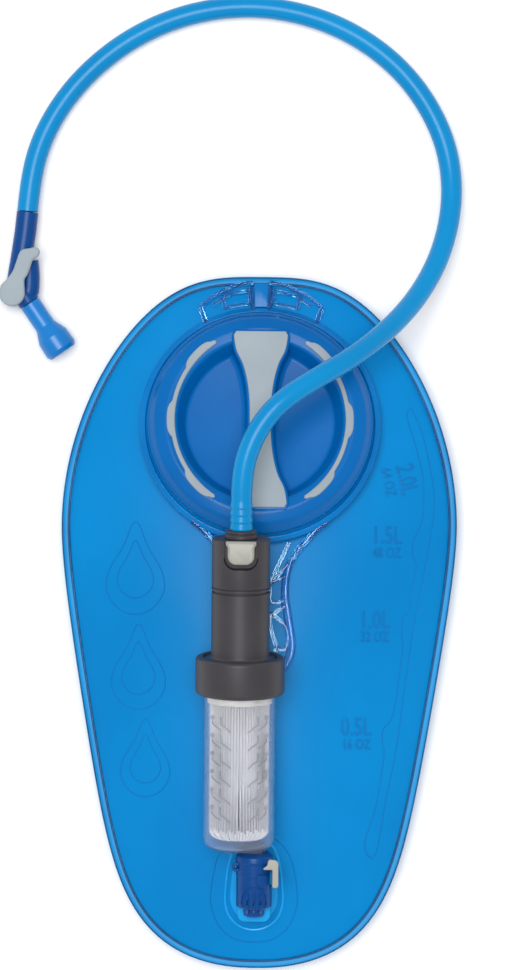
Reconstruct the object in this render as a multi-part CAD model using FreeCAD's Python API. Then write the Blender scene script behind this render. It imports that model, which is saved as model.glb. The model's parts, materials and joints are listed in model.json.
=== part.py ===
import FreeCAD, Part
import math
import os

# Hydration bladder lying on its back: millimetres, +Z up, +Y towards the fill cap,
# origin under the middle of the bag on the surface that it lies on.

V = FreeCAD.Vector

# --- bag -----------------------------------------------------------------------------
BAG_HALF_LENGTH = 179.7
BAG_HALF_WIDTH = 102.8
WIDEST_Y = 50.0            # where the outline is widest
TOP_DRAW, TOP_POWER, TOP_ROUND = 0.19, 1.96, 3.23     # how the sides draw in, and round over, above that
FOOT_DRAW, FOOT_EASE = 0.408, 0.174                   # the same below, easing in from parallel sides
FOOT_POWER, FOOT_ROUND = 9.3, 2.25
DOME_CENTRE_Y = -20.0      # the dome's contours shrink towards this point
SEAM_Z = 16.0
FRONT_RISE = 28.0          # height of the filled front above the seam
FRONT_CONTOURS = (1.0, 0.97, 0.9, 0.8, 0.65, 0.45, 0.25)
BACK_CONTOURS = ((1.0, 0.0), (0.985, 6.5), (0.95, 12.0), (0.89, 15.0), (0.84, 16.0))
FILM = 1.0
WELD_WIDTH = 4.0
WELD_THICKNESS = 1.2

# --- fill port and cap, in a frame on the port's rim, tilted towards the cap end --------
PORT_CENTRE = V(0, 103.0, 37.3)
PORT_TILT = 12.0
PORT_R = 62.5
PORT_DEPTH = 11.0
NECK_R_IN, NECK_R_OUT, NECK_TOP = 50.0, 53.0, 7.0
LUG_COUNT = 3
LUG_ANGLE = 25.0
LUG_REACH = 1.6
CAP_R = 58.3
CAP_INNER_R = 55.2
CAP_CROWN = 11.0           # top of the cap's raised rim
WELL_R = 38.0
WELL_FLOOR = 1.5
BAR_LENGTH, BAR_END_WIDTH, BAR_WAIST = 93.0, 28.0, 11.0
BAR_TOP = 13.0
BAR_BORDER = 1.5
GRIP_ARC_R = 50.0
GRIP_ARC_OFFSET = 4.4
GRIP_WIDTH = 3.6
SEAL_THICKNESS = 1.5
LIFT_GAP = 0.05

# --- hanging loops and carrying handle -------------------------------------------------
LOOP_ARC_CENTRE_Y, LOOP_ARC_R = 134.0, 43.2
LOOP_HALF_SPAN = 32.0
LOOP_THICKNESS = 2.5
SLOT_R_IN, SLOT_R_OUT = 64.4, 70.4
SLOT_X = (5.5, 20.5)
HANDLE_BOTTOM, HANDLE_THICKNESS = 44.2, 3.0
HANDLE_RAIL = 3.0
HANDLE_EDGE = ((35.0, 58.0), (30.6, 50.4), (19.7, 37.7), (14.9, 26.5), (14.0, 17.4),
               (15.7, 3.9), (17.9, -10.7), (13.7, -23.7))
HANDLE_TIP_Y = -29.9
HANDLE_RIB_WIDTH = 2.2
HANDLE_RIBS = (((22.5, 46.0), (5.0, 22.0)), ((14.0, 42.0), (5.0, 22.0)), ((5.0, 22.0), (14.5, 26.0)),
               ((5.0, 22.0), (14.0, 13.0)), ((14.0, 13.0), (6.0, 5.0)), ((6.0, 5.0), (14.5, -3.0)),
               ((6.0, 5.0), (7.0, -16.0)), ((7.0, -16.0), (16.0, -12.0)), ((7.0, -16.0), (0.0, -28.0)))

# --- filter, in a frame whose z runs along the filter towards the hose -------------------
FILTER_TILT = 9.0
FILTER_AT = V(-9.2, -26.0, 71.5)
BODY_R, BODY_WALL = 18.3, 1.5
BODY_END = -91.0
NIPPLE_OFFSET = (8.2, 7.0)
NIPPLE_R, NIPPLE_BORE, NIPPLE_LENGTH = 5.4, 3.2, 16.0
COLLAR_R, COLLAR_FROM, COLLAR_TO = 23.0, -10.0, 10.0
FILTER_NECK_R = 15.0
BAND_FROM, BAND_TO = 43.0, 46.0
SOCKET_END = 71.0
SOCKET_BORE = 7.4
RECESS_HALF_WIDTH, RECESS_FOOT, RECESS_ROUND = 8.6, 56.9, 5.0
BUTTON_HALF_WIDTH, BUTTON_FOOT = 6.9, 59.3
PLUG_R = 7.3
PLUG_TIP = 55.0
PLUG_COLLAR_R, PLUG_COLLAR_END = 8.5, 75.5
BARB_R = 3.9
CUFF_END = 91.0

# --- exit coupling, in a frame parallel to the filter's --------------------------------
LINK_R, LINK_FROM, LINK_TO = 9.4, -94.5, -128.0
LINK_BORE = 5.5
LINK_BORE_END = -124.0
EXIT_CENTRE_Y = -142.0
EXIT_BASE_R = 23.0
EXIT_BASE_HALF_WIDTH = 21.5
EXIT_BASE_DEPTH = 5.0
EXIT_SLOPE = 14.0
EXIT_BASE_Z = 30.0
STEM_R = 6.5

# --- drinking tube ----------------------------------------------------------------------
HOSE_R = 5.5
HOSE_REST_Z = 5.6
ROUTE = ((-9.2, 63.88, 85.74), (-9.2, 72.0, 87.02), (-7.5, 84.4, 88.5), (-3.2, 96.1, 89.3),
         (3.4, 106.7, 89.3), (12.1, 115.7, 88.2), (27.0, 125.8, 83.7), (44.0, 135.5, 75.0),
         (58.2, 146.0, 63.6), (70.7, 157.3, 50.5), (82.3, 171.5, 36.1), (91.8, 189.0, 23.7),
         (97.6, 209.0, 14.5), (99.0, 229.5, 9.0), (95.5, 250.0, 6.2), (86.5, 269.5, HOSE_REST_Z),
         (73.4, 286.9, HOSE_REST_Z), (57.3, 300.6, HOSE_REST_Z), (38.7, 311.1, HOSE_REST_Z),
         (18.1, 317.9, HOSE_REST_Z), (-3.5, 320.9, HOSE_REST_Z), (-25.5, 319.6, HOSE_REST_Z),
         (-47.2, 314.1, HOSE_REST_Z), (-67.9, 304.3, HOSE_REST_Z), (-86.5, 290.6, HOSE_REST_Z),
         (-102.5, 273.3, HOSE_REST_Z), (-114.5, 252.8, 6.2), (-120.6, 231.5, 7.8), (-122.1, 212.9, 8.5))
ARC_SHARE = 0.45           # share of the shorter run that each arc's tangent takes

# --- shut-off valve and bite valve ---------------------------------------------------------
VALVE_Z = 8.5
PIVOT = V(-129.7, 170.0, VALVE_Z)            # the shut-off barrel and its lever
SLEEVE_FOOT = V(-126.8, 174.0, VALVE_Z)      # where the two straight runs of the body meet
BITE_ROOT = V(-125.8, 172.7, VALVE_Z)        # start of the mouthpiece's axis, beside the pivot
SLEEVE_R = 5.7
DRUM_R, DRUM_TOP = 7.4, 6.6
BARREL_R, BARREL_GAP = 4.4, 0.05
FLOW_R = 2.6
LEVER_TIP = V(-118.6, 191.0, 0)
LEVER_R = 6.7
STEM_TIP_R, STEM_LENGTH = 4.0, 19.0
BITE_HEAD = V(-102.8, 139.5, VALVE_Z)
BITE_HEAD_LENGTH, BITE_FLARE = 10.2, 6.6
BITE_STEM_R, BITE_HEAD_R = 5.4, 8.4


def half_width(y):
    """Half the bag's width at y: both ends draw in a little and then round over."""
    if y >= WIDEST_Y:
        t = min(1.0, (y - WIDEST_Y) / (BAG_HALF_LENGTH - WIDEST_Y))
        return BAG_HALF_WIDTH * (1 - TOP_DRAW * t ** 2) * (1 - t ** TOP_POWER) ** (1 / TOP_ROUND)
    t = min(1.0, (WIDEST_Y - y) / (BAG_HALF_LENGTH + WIDEST_Y))
    drawn_in = 1 - FOOT_DRAW * t ** 2 / (t + FOOT_EASE)
    return BAG_HALF_WIDTH * drawn_in * (1 - t ** FOOT_POWER) ** (1 / FOOT_ROUND)


def outline_points():
    """The right half of the outline from the top to the foot, closest together at the ends."""
    above, below = BAG_HALF_LENGTH - WIDEST_Y, BAG_HALF_LENGTH + WIDEST_Y
    upper = [WIDEST_Y + above * math.cos(math.radians(7 * i)) for i in range(13)]
    lower = [WIDEST_Y - below * math.sin(math.radians(6 + 7 * i)) for i in range(13)]
    return [(half_width(y), y) for y in upper + lower]


def contour(inset, shrink, z):
    """The bag's outline, moved in by the weld's width and shrunk towards the dome's centre."""
    fx = (1 - inset / BAG_HALF_WIDTH) * shrink
    fy = (1 - inset / (BAG_HALF_LENGTH - DOME_CENTRE_Y)) * shrink
    right = outline_points()
    left = [(-x, y) for x, y in reversed(right[1:-1])]
    points = [V(x * fx, DOME_CENTRE_Y + (y - DOME_CENTRE_Y) * fy, z) for x, y in right + left]
    curve = Part.BSplineCurve()
    curve.interpolate(Points=points, PeriodicFlag=True)
    return Part.Wire([curve.toShape()])


def front_height(shrink):
    return SEAM_Z + FRONT_RISE * (1 - shrink ** 2) ** 0.9


def loft(wires, straight=False):
    return Part.makeLoft(wires, True, straight)


def cylinder(radius, z_from, z_to, x=0.0, y=0.0):
    return Part.makeCylinder(radius, z_to - z_from, V(x, y, z_from))


def ring(r_in, r_out, z_from, z_to):
    return cylinder(r_out, z_from, z_to).cut(cylinder(r_in, z_from - 1, z_to + 1))


def box(x, y, z):
    """A box from three (low, high) pairs."""
    return Part.makeBox(x[1] - x[0], y[1] - y[0], z[1] - z[0], V(x[0], y[0], z[0]))


def revolved(profile):
    """A solid of revolution about Z from (radius, z) corners."""
    points = [V(r, 0, z) for r, z in profile]
    face = Part.Face(Part.makePolygon(points + points[:1]))
    return face.revolve(V(0, 0, 0), V(0, 0, 1), 360)


def sector(r_in, r_out, z_from, z_to, middle, width):
    """Part of a ring, width degrees wide about the direction middle."""
    outer = Part.makeCylinder(r_out, z_to - z_from, V(0, 0, z_from), V(0, 0, 1), width)
    inner = cylinder(r_in, z_from - 1, z_to + 1)
    return outer.cut(inner).rotated(V(0, 0, 0), V(0, 0, 1), middle - width / 2)


def prism(points, z_from, z_to):
    """A straight-sided plate from corner points."""
    wire = Part.makePolygon([V(x, y, z_from) for x, y in points + points[:1]])
    return Part.Face(wire).extrude(V(0, 0, z_to - z_from))


def strut(start, end, width, z_from, z_to):
    """A flat bar between two plan points, with round ends."""
    a, b = V(start[0], start[1], z_from), V(end[0], end[1], z_from)
    side = V(-(b - a).y, (b - a).x, 0).normalize() * (width / 2)
    corners = [(p.x, p.y) for p in (a + side, b + side, b - side, a - side)]
    bar = prism(corners, z_from, z_to)
    ends = [cylinder(width / 2, z_from, z_to, p.x, p.y) for p in (a, b)]
    return bar.multiFuse(ends).removeSplitter()


def spring(radius, wire_r, z_from, z_to, turns):
    """A compression spring about Z."""
    height = z_to - z_from - 2 * wire_r
    helix = Part.makeHelix(height / turns, height, radius)
    profile = Part.Wire([Part.makeCircle(wire_r, V(radius, 0, 0), V(0, 1, 0))])
    coil = Part.Wire(helix.Edges).makePipeShell([profile], True, True)
    return coil.translated(V(0, 0, z_from + wire_r))


def about_x(degrees, at):
    return FreeCAD.Placement(at, FreeCAD.Rotation(V(1, 0, 0), degrees))


ON_PORT = about_x(-PORT_TILT, PORT_CENTRE)
ON_FILTER = about_x(FILTER_TILT - 90.0, FILTER_AT)
TO_NIPPLE = FreeCAD.Placement(V(NIPPLE_OFFSET[0], NIPPLE_OFFSET[1], 0), FreeCAD.Rotation())
ON_LINK = ON_FILTER.multiply(TO_NIPPLE)


def placed(shape, placement):
    """A copy of the shape moved from its own frame into the object's."""
    result = shape.copy()
    result.Placement = placement.multiply(result.Placement)
    return result


EXIT_SEAT = about_x(EXIT_SLOPE, V(ON_LINK.Base.x, EXIT_CENTRE_Y, EXIT_BASE_Z))


def exit_oval(z_from, z_to):
    """The exit base's plan: a disc with its two sides flattened."""
    flats = box((-EXIT_BASE_HALF_WIDTH, EXIT_BASE_HALF_WIDTH), (-30, 30), (z_from - 1, z_to + 1))
    return cylinder(EXIT_BASE_R, z_from, z_to).common(flats)


PARTS = {}


def keep(name, shape):
    PARTS[name] = shape


# --- bag ---------------------------------------------------------------------------------

def make_bag():
    port_envelope = placed(cylinder(PORT_R, -60, 30), ON_PORT)
    outer = loft([contour(WELD_WIDTH, s, front_height(s)) for s in FRONT_CONTOURS])
    inner = loft([contour(WELD_WIDTH + FILM, s, front_height(s) - FILM) for s in FRONT_CONTOURS])
    exit_envelope = placed(exit_oval(-14, 14), EXIT_SEAT)
    front = outer.cut(inner).cut(exit_envelope)
    above_seam = box((-150, 150), (-250, 250), (SEAM_Z, 90))
    keep("bag_front_film", front.common(above_seam).cut(port_envelope.common(above_seam)))
    back_outer = loft([contour(WELD_WIDTH, s, SEAM_Z - drop) for s, drop in BACK_CONTOURS], True)
    inner_wires = [contour(WELD_WIDTH + FILM, s, SEAM_Z + FILM - drop) for s, drop in BACK_CONTOURS]
    back_inner = loft(inner_wires, True)
    below_seam = box((-150, 150), (-250, 250), (-1, SEAM_Z))
    keep("bag_back_film", back_outer.cut(back_inner).common(below_seam))
    rim = Part.Face(contour(0, 1, SEAM_Z - WELD_THICKNESS / 2)).extrude(V(0, 0, WELD_THICKNESS))
    inside = Part.Face(contour(WELD_WIDTH, 1, SEAM_Z - 2)).extrude(V(0, 0, 4))
    keep("perimeter_weld", rim.cut(inside))


# --- fill port, loops and handle -----------------------------------------------------------

def make_port():
    flange = ring(NECK_R_IN, PORT_R, -PORT_DEPTH, 0).fuse(ring(NECK_R_IN, NECK_R_OUT, -1, NECK_TOP))
    lugs = [sector(NECK_R_OUT - 0.5, NECK_R_OUT + LUG_REACH, 3.4, 5.4, 120 * i + 90, LUG_ANGLE)
            for i in range(LUG_COUNT)]
    port = placed(flange.multiFuse(lugs).removeSplitter(), ON_PORT)
    keep("fill_port", port.cut(box((-90, 90), (0, 200), (-10, SEAM_Z + WELD_THICKNESS))))


def make_hang_loops():
    outer = cylinder(LOOP_ARC_R, -LOOP_THICKNESS, 0, 0, LOOP_ARC_CENTRE_Y - PORT_CENTRE.y)
    span = box((-LOOP_HALF_SPAN, LOOP_HALF_SPAN), (40, 90), (-20, 20))
    plate = outer.common(span).cut(cylinder(PORT_R, -20, 20))
    slot_ring = ring(SLOT_R_IN, SLOT_R_OUT, -20, 20)
    for side in (-1, 1):
        low, high = sorted((side * SLOT_X[0], side * SLOT_X[1]))
        plate = plate.cut(slot_ring.common(box((low, high), (40, 90), (-19, 19))))
    keep("hang_loops", placed(plate, ON_PORT))


def handle_outline(inset):
    """The handle's plan outline as one spline, right edge down, round the tip, left edge up."""
    right = [(x - inset, y) for x, y in HANDLE_EDGE]
    tip = [(0, HANDLE_TIP_Y + inset)]
    left = [(-x, y) for x, y in reversed(right)]
    points = [V(x, y, HANDLE_BOTTOM) for x, y in right + tip + left]
    curve = Part.BSplineCurve()
    curve.interpolate(points)
    return Part.Wire([curve.toShape(), Part.makeLine(points[-1], points[0])])


def make_handle():
    up = V(0, 0, HANDLE_THICKNESS)
    plate = Part.Face(handle_outline(0)).extrude(up)
    window = Part.Face(handle_outline(HANDLE_RAIL)).extrude(up)
    top = HANDLE_BOTTOM + HANDLE_THICKNESS
    ribs = []
    for start, end in HANDLE_RIBS:
        for side in (-1, 1):
            from_point, to_point = (side * start[0], start[1]), (side * end[0], end[1])
            ribs.append(strut(from_point, to_point, HANDLE_RIB_WIDTH, HANDLE_BOTTOM, top))
    frame = plate.cut(window).multiFuse([rib.common(plate) for rib in ribs])
    keep("port_handle", frame.cut(placed(cylinder(PORT_R, -40, 40), ON_PORT)))


# --- cap -----------------------------------------------------------------------------------

def bar_prism(border, z_from, z_to):
    """The dog-bone turning bar: waisted sides and crowned ends."""
    x_end, x_mid = BAR_END_WIDTH / 2 + border, BAR_WAIST / 2 + border
    y_side, y_end = BAR_LENGTH / 2 - 2.5 + border, BAR_LENGTH / 2 + border
    corners = (V(x_end, y_side, z_from), V(-x_end, y_side, z_from))
    lower = (V(-x_end, -y_side, z_from), V(x_end, -y_side, z_from))
    edges = [Part.Arc(corners[0], V(0, y_end, z_from), corners[1]).toShape(),
             Part.Arc(corners[1], V(-x_mid, 0, z_from), lower[0]).toShape(),
             Part.Arc(lower[0], V(0, -y_end, z_from), lower[1]).toShape(),
             Part.Arc(lower[1], V(x_mid, 0, z_from), corners[0]).toShape()]
    return Part.Face(Part.Wire(edges)).extrude(V(0, 0, z_to - z_from))


def grip_pad(side, z_from, z_to):
    """A soft arc on the cap's crown, with three finger bumps along its outer edge."""
    pad = sector(GRIP_ARC_R - GRIP_WIDTH / 2, GRIP_ARC_R + GRIP_WIDTH / 2, z_from, z_to, 0, 104)
    for angle in (-42, 0, 42):
        pad = pad.fuse(sector(GRIP_ARC_R, GRIP_ARC_R + GRIP_WIDTH / 2 + 1.4, z_from, z_to, angle, 19))
    pad = pad.translated(V(-GRIP_ARC_OFFSET, 0, 0)).removeSplitter()
    return pad if side > 0 else pad.rotated(V(0, 0, 0), V(0, 0, 1), 180)


def make_cap():
    shell = revolved([(0, -0.5), (WELL_R + 1.5, -0.5), (45.0, 8.6), (CAP_INNER_R, 8.6), (CAP_INNER_R, 0.5),
                      (CAP_R, 0.5), (CAP_R, 5.0), (55.5, 8.6), (52.5, 10.3), (48.5, CAP_CROWN),
                      (43.2, CAP_CROWN), (41.5, 9.6), (WELL_R + 0.6, 2.1), (WELL_R, WELL_FLOOR),
                      (0, WELL_FLOOR)])
    bar_base = bar_prism(BAR_BORDER, WELL_FLOOR - 0.5, BAR_TOP - 1.5)
    lugs = [sector(NECK_R_OUT + 0.4, CAP_INNER_R + 0.5, 0.6, 2.2, 120 * i + 90, LUG_ANGLE)
            for i in range(LUG_COUNT)]
    body = shell.multiFuse([bar_base] + lugs)
    pads = [grip_pad(side, CAP_CROWN - 0.6, CAP_CROWN + 0.9) for side in (-1, 1)]
    grip = bar_prism(0, BAR_TOP - 1.5, BAR_TOP)
    body = body.cut(pads[0]).cut(pads[1]).removeSplitter()
    seal = ring(NECK_R_IN, NECK_R_OUT, NECK_TOP + LIFT_GAP, NECK_TOP + SEAL_THICKNESS)
    keep("cap_body", placed(body, ON_PORT))
    keep("cap_grip_bar", placed(grip, ON_PORT))
    keep("cap_grip_pads", placed(Part.makeCompound(pads), ON_PORT))
    keep("cap_seal", placed(seal, ON_PORT))


# --- filter --------------------------------------------------------------------------------

def make_filter():
    nx, ny = NIPPLE_OFFSET
    shell = revolved([(0, BODY_END), (BODY_R - 2.5, BODY_END), (BODY_R, BODY_END + 2.5), (BODY_R, 0),
                      (BODY_R - BODY_WALL, 0), (BODY_R - BODY_WALL, BODY_END + BODY_WALL),
                      (0, BODY_END + BODY_WALL)])
    nipple = cylinder(NIPPLE_R, BODY_END - NIPPLE_LENGTH, BODY_END, nx, ny)
    groove = ring(NIPPLE_R - 1, NIPPLE_R + 1, BODY_END - 11.8, BODY_END - 10)
    nipple = nipple.cut(groove.translated(V(nx, ny, 0)))
    bore = cylinder(NIPPLE_BORE, BODY_END - NIPPLE_LENGTH - 1, BODY_END + BODY_WALL + 1, nx, ny)
    keep("filter_housing", placed(shell.fuse(nipple).cut(bore), ON_FILTER))
    oring = Part.makeTorus(NIPPLE_R - 0.5, 0.45, V(nx, ny, BODY_END - 10.9))
    keep("nipple_oring", placed(oring, ON_FILTER))
    bundle_r = BODY_R - BODY_WALL - 1.3
    bundle_end = BODY_END + 7.0
    bundle = revolved([(0, bundle_end), (bundle_r - 6, bundle_end), (bundle_r - 2, bundle_end + 2.5),
                       (bundle_r, bundle_end + 7.0), (bundle_r, -14), (0, -14)])
    keep("fibre_bundle", placed(bundle, ON_FILTER))
    keep("potting_disc", placed(cylinder(BODY_R - BODY_WALL, -14, -8), ON_FILTER))
    collar = revolved([(BODY_R + 0.1, COLLAR_FROM), (COLLAR_R - 0.8, COLLAR_FROM),
                       (COLLAR_R, COLLAR_FROM + 0.8), (COLLAR_R, 5.5), (COLLAR_R - 1.6, 8.6),
                       (COLLAR_R - 4.5, COLLAR_TO),
                       (FILTER_NECK_R + 0.1, COLLAR_TO), (FILTER_NECK_R + 0.1, 3), (BODY_R + 0.1, 3)])
    keep("filter_collar", placed(collar, ON_FILTER))
    neck = revolved([(12, 0.5), (BODY_R, 0.5), (BODY_R, 2.5), (FILTER_NECK_R, 2.5),
                     (FILTER_NECK_R, BAND_FROM), (12, BAND_FROM)])
    keep("filter_neck", placed(neck, ON_FILTER))
    keep("neck_band", placed(ring(12, FILTER_NECK_R + 0.25, BAND_FROM, BAND_TO), ON_FILTER))


def round_footed(half_width_x, y, z_from, z_to):
    """A block with its two lower long edges rounded."""
    block = box((-half_width_x, half_width_x), y, (z_from, z_to))
    lower = [edge for edge in block.Edges
             if abs(edge.CenterOfMass.z - z_from) < 0.01 and abs(abs(edge.CenterOfMass.x) - half_width_x) < 0.01]
    return block.makeFillet(RECESS_ROUND, lower)


def make_coupling():
    """The socket at the filter's hose end, with its release button, valve and springs."""
    socket = cylinder(FILTER_NECK_R, BAND_TO, SOCKET_END)
    socket = socket.cut(cylinder(SOCKET_BORE, PLUG_TIP - 1, SOCKET_END + 1))
    socket = socket.cut(cylinder(4.4, BAND_TO - 1, PLUG_TIP))
    recess = round_footed(RECESS_HALF_WIDTH, (-FILTER_NECK_R - 2, -9.2), RECESS_FOOT, SOCKET_END + 1)
    latch_opening = box((-4.3, 4.3), (-10, -6.9), (57.4, 60.8))
    keep("coupling_socket", placed(socket.cut(recess).cut(latch_opening), ON_FILTER))
    button = round_footed(BUTTON_HALF_WIDTH, (-FILTER_NECK_R - 0.4, -12.2), BUTTON_FOOT, SOCKET_END - 1.2)
    keep("coupling_release_button", placed(button, ON_FILTER))
    coil = spring(2.4, 0.4, 0, 2.7, 3)
    inward = about_x(90, V(0, -9.3, 64.2))
    keep("coupling_button_spring", placed(placed(coil, inward), ON_FILTER))
    poppet = cylinder(4.0, 53.8, 55.2).fuse(cylinder(1.6, 49.0, 54.0))
    keep("coupling_poppet", placed(poppet, ON_FILTER))
    keep("coupling_poppet_spring", placed(spring(2.7, 0.4, BAND_TO, 53.7, 5), ON_FILTER))


def make_hose_plug():
    tip = PLUG_TIP + 0.5
    plug = revolved([(3.0, tip), (PLUG_R - 0.8, tip), (PLUG_R, tip + 0.8), (PLUG_R, 58.5),
                     (PLUG_R - 1.0, 58.5), (PLUG_R - 1.0, 60.1), (PLUG_R, 60.1), (PLUG_R, 61.4),
                     (PLUG_R - 1.4, 62.2), (PLUG_R - 1.4, 65.0), (PLUG_R, 65.8), (PLUG_R, 71.2),
                     (BARB_R, 71.2), (BARB_R, CUFF_END - 0.1), (3.0, CUFF_END - 0.1)])
    keep("hose_plug", placed(plug, ON_FILTER))
    keep("plug_oring", placed(Part.makeTorus(PLUG_R - 0.55, 0.45, V(0, 0, 59.3)), ON_FILTER))
    collar = revolved([(BARB_R, 71.2), (PLUG_COLLAR_R, 71.2), (PLUG_COLLAR_R, 73.2),
                       (PLUG_COLLAR_R - 0.6, 73.8), (PLUG_COLLAR_R - 0.6, 74.4),
                       (PLUG_COLLAR_R - 1.4, PLUG_COLLAR_END), (BARB_R, PLUG_COLLAR_END)])
    keep("plug_collar", placed(collar, ON_FILTER))
    ridges = []
    for start in (75.5, 79.5, 83.5, 87.2):
        ridges += [(HOSE_R + 0.35, start + 0.1), (HOSE_R + 0.1, start + 3.6)]
    cuff = revolved([(BARB_R, PLUG_COLLAR_END)] + ridges + [(HOSE_R, CUFF_END), (BARB_R, CUFF_END)])
    keep("hose_cuff", placed(cuff, ON_FILTER))


# --- exit coupling -------------------------------------------------------------------------

def make_exit():
    axis_x = ON_LINK.Base.x
    rim = ring(15.5, 17.5, -0.5, 1.6)
    base = placed(exit_oval(-EXIT_BASE_DEPTH, 0).fuse(rim), EXIT_SEAT)
    stem = cylinder(STEM_R, EXIT_BASE_Z - 6, 60, axis_x, EXIT_CENTRE_Y)
    link_space = placed(cylinder(LINK_R, LINK_TO - 40, LINK_FROM + 40), ON_LINK)
    stem = stem.cut(link_space).common(box((-30, 30), (-190, -100), (0, EXIT_BASE_Z + 13)))
    cradle = placed(box((-8.2, 8.2), (-3.0, 8.6), (LINK_TO - 4.5, LINK_TO - 0.2)), ON_LINK)
    post = box((axis_x - 7, axis_x + 7), (EXIT_CENTRE_Y - 16, EXIT_CENTRE_Y - 9),
               (EXIT_BASE_Z - 5, EXIT_BASE_Z + 13))
    flow = cylinder(3.2, 0, 60, axis_x, EXIT_CENTRE_Y)
    whole = base.multiFuse([stem, cradle, post.cut(link_space)]).cut(flow)
    keep("exit_port_base", whole)

    body = cylinder(LINK_R, LINK_TO, LINK_FROM)
    body = body.fuse(cylinder(LINK_R + 0.5, LINK_FROM - 4.5, LINK_FROM))
    body = body.cut(cylinder(LINK_BORE, LINK_BORE_END, LINK_FROM + 1))
    latch_slot = box((6.1, 20.0), (-4.4, 4.4), (LINK_FROM - 12.0, LINK_FROM - 5.4))
    tab_relief = box((8.1, 20.0), (-4.4, 4.4), (LINK_FROM - 17.4, LINK_FROM - 5.4))
    body = body.cut(latch_slot).cut(tab_relief)
    down = Part.makeCylinder(3.2, 20, V(0, 0, -119.5), V(0, 1, 0))
    keep("quicklink_body", placed(body.cut(down), ON_LINK))

    plate = box((9.2, 12.3), (-4.1, 4.1), (LINK_FROM - 11.7, LINK_FROM - 5.7))
    tab = box((9.9, 12.3), (-4.1, 4.1), (LINK_FROM - 17.0, LINK_FROM - 5.7))
    keep("exit_release_button", placed(plate.fuse(tab).removeSplitter(), ON_LINK))
    coil = spring(1.8, 0.25, 0, 2.9, 3)
    sideways = FreeCAD.Placement(V(6.2, 0, LINK_FROM - 8.7), FreeCAD.Rotation(V(0, 1, 0), 90))
    keep("exit_button_spring", placed(placed(coil, sideways), ON_LINK))
    nipple_tip = BODY_END - NIPPLE_LENGTH
    guide = cylinder(1.4, nipple_tip - 7, nipple_tip - 1)
    poppet = cylinder(4.6, nipple_tip - 1.6, nipple_tip - 0.2).fuse(guide)
    keep("exit_poppet", placed(poppet, ON_LINK))
    keep("exit_poppet_spring", placed(spring(2.6, 0.4, LINK_BORE_END, nipple_tip - 1.7, 5), ON_LINK))


# --- drinking tube ---------------------------------------------------------------------------

def tube_path(points):
    """Straight runs joined by tangent arcs; returns the wire and prints the tightest radius."""
    edges, radii, start = [], [], points[0]
    for before, corner, after in zip(points, points[1:], points[2:]):
        back, ahead = (before - corner), (after - corner)
        tangent = ARC_SHARE * min(back.Length, ahead.Length)
        turn = math.pi - back.getAngle(ahead)
        radii.append(tangent / math.tan(turn / 2))
        back.normalize()
        ahead.normalize()
        enter, leave = corner + back * tangent, corner + ahead * tangent
        bisector = (back + ahead).normalize()
        reach = math.hypot(tangent, radii[-1]) - radii[-1]
        edges.append(Part.LineSegment(start, enter).toShape())
        edges.append(Part.Arc(enter, corner + bisector * reach, leave).toShape())
        start = leave
    edges.append(Part.LineSegment(start, points[-1]).toShape())
    print("arc radii:", " ".join("%.0f" % r for r in radii))
    return Part.Wire(edges)


def make_hose():
    points = [V(*p) for p in ROUTE]
    path = tube_path(points)
    section = Part.Wire([Part.makeCircle(HOSE_R, points[0], points[1] - points[0])])
    tube = path.makePipeShell([section], True, False)
    print("tube length %.1f, volume over section times length %.4f"
          % (path.Length, tube.Volume / (math.pi * HOSE_R ** 2 * path.Length)))
    keep("hose_tube", tube)


# --- shut-off valve and bite valve --------------------------------------------------------------

def between(radius, start, end, skip=0.0):
    """A cylinder from start to end, leaving out the first stretch."""
    along = (end - start)
    length = along.Length - skip
    along.normalize()
    return Part.makeCylinder(radius, length, start + along * skip, along)


def along_bite(profile):
    """Revolve (radius, distance from the root) corners about the mouthpiece's axis."""
    placement = FreeCAD.Placement(BITE_ROOT, FreeCAD.Rotation(V(0, 0, 1), BITE_HEAD - BITE_ROOT))
    return placed(revolved(profile), placement)


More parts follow.
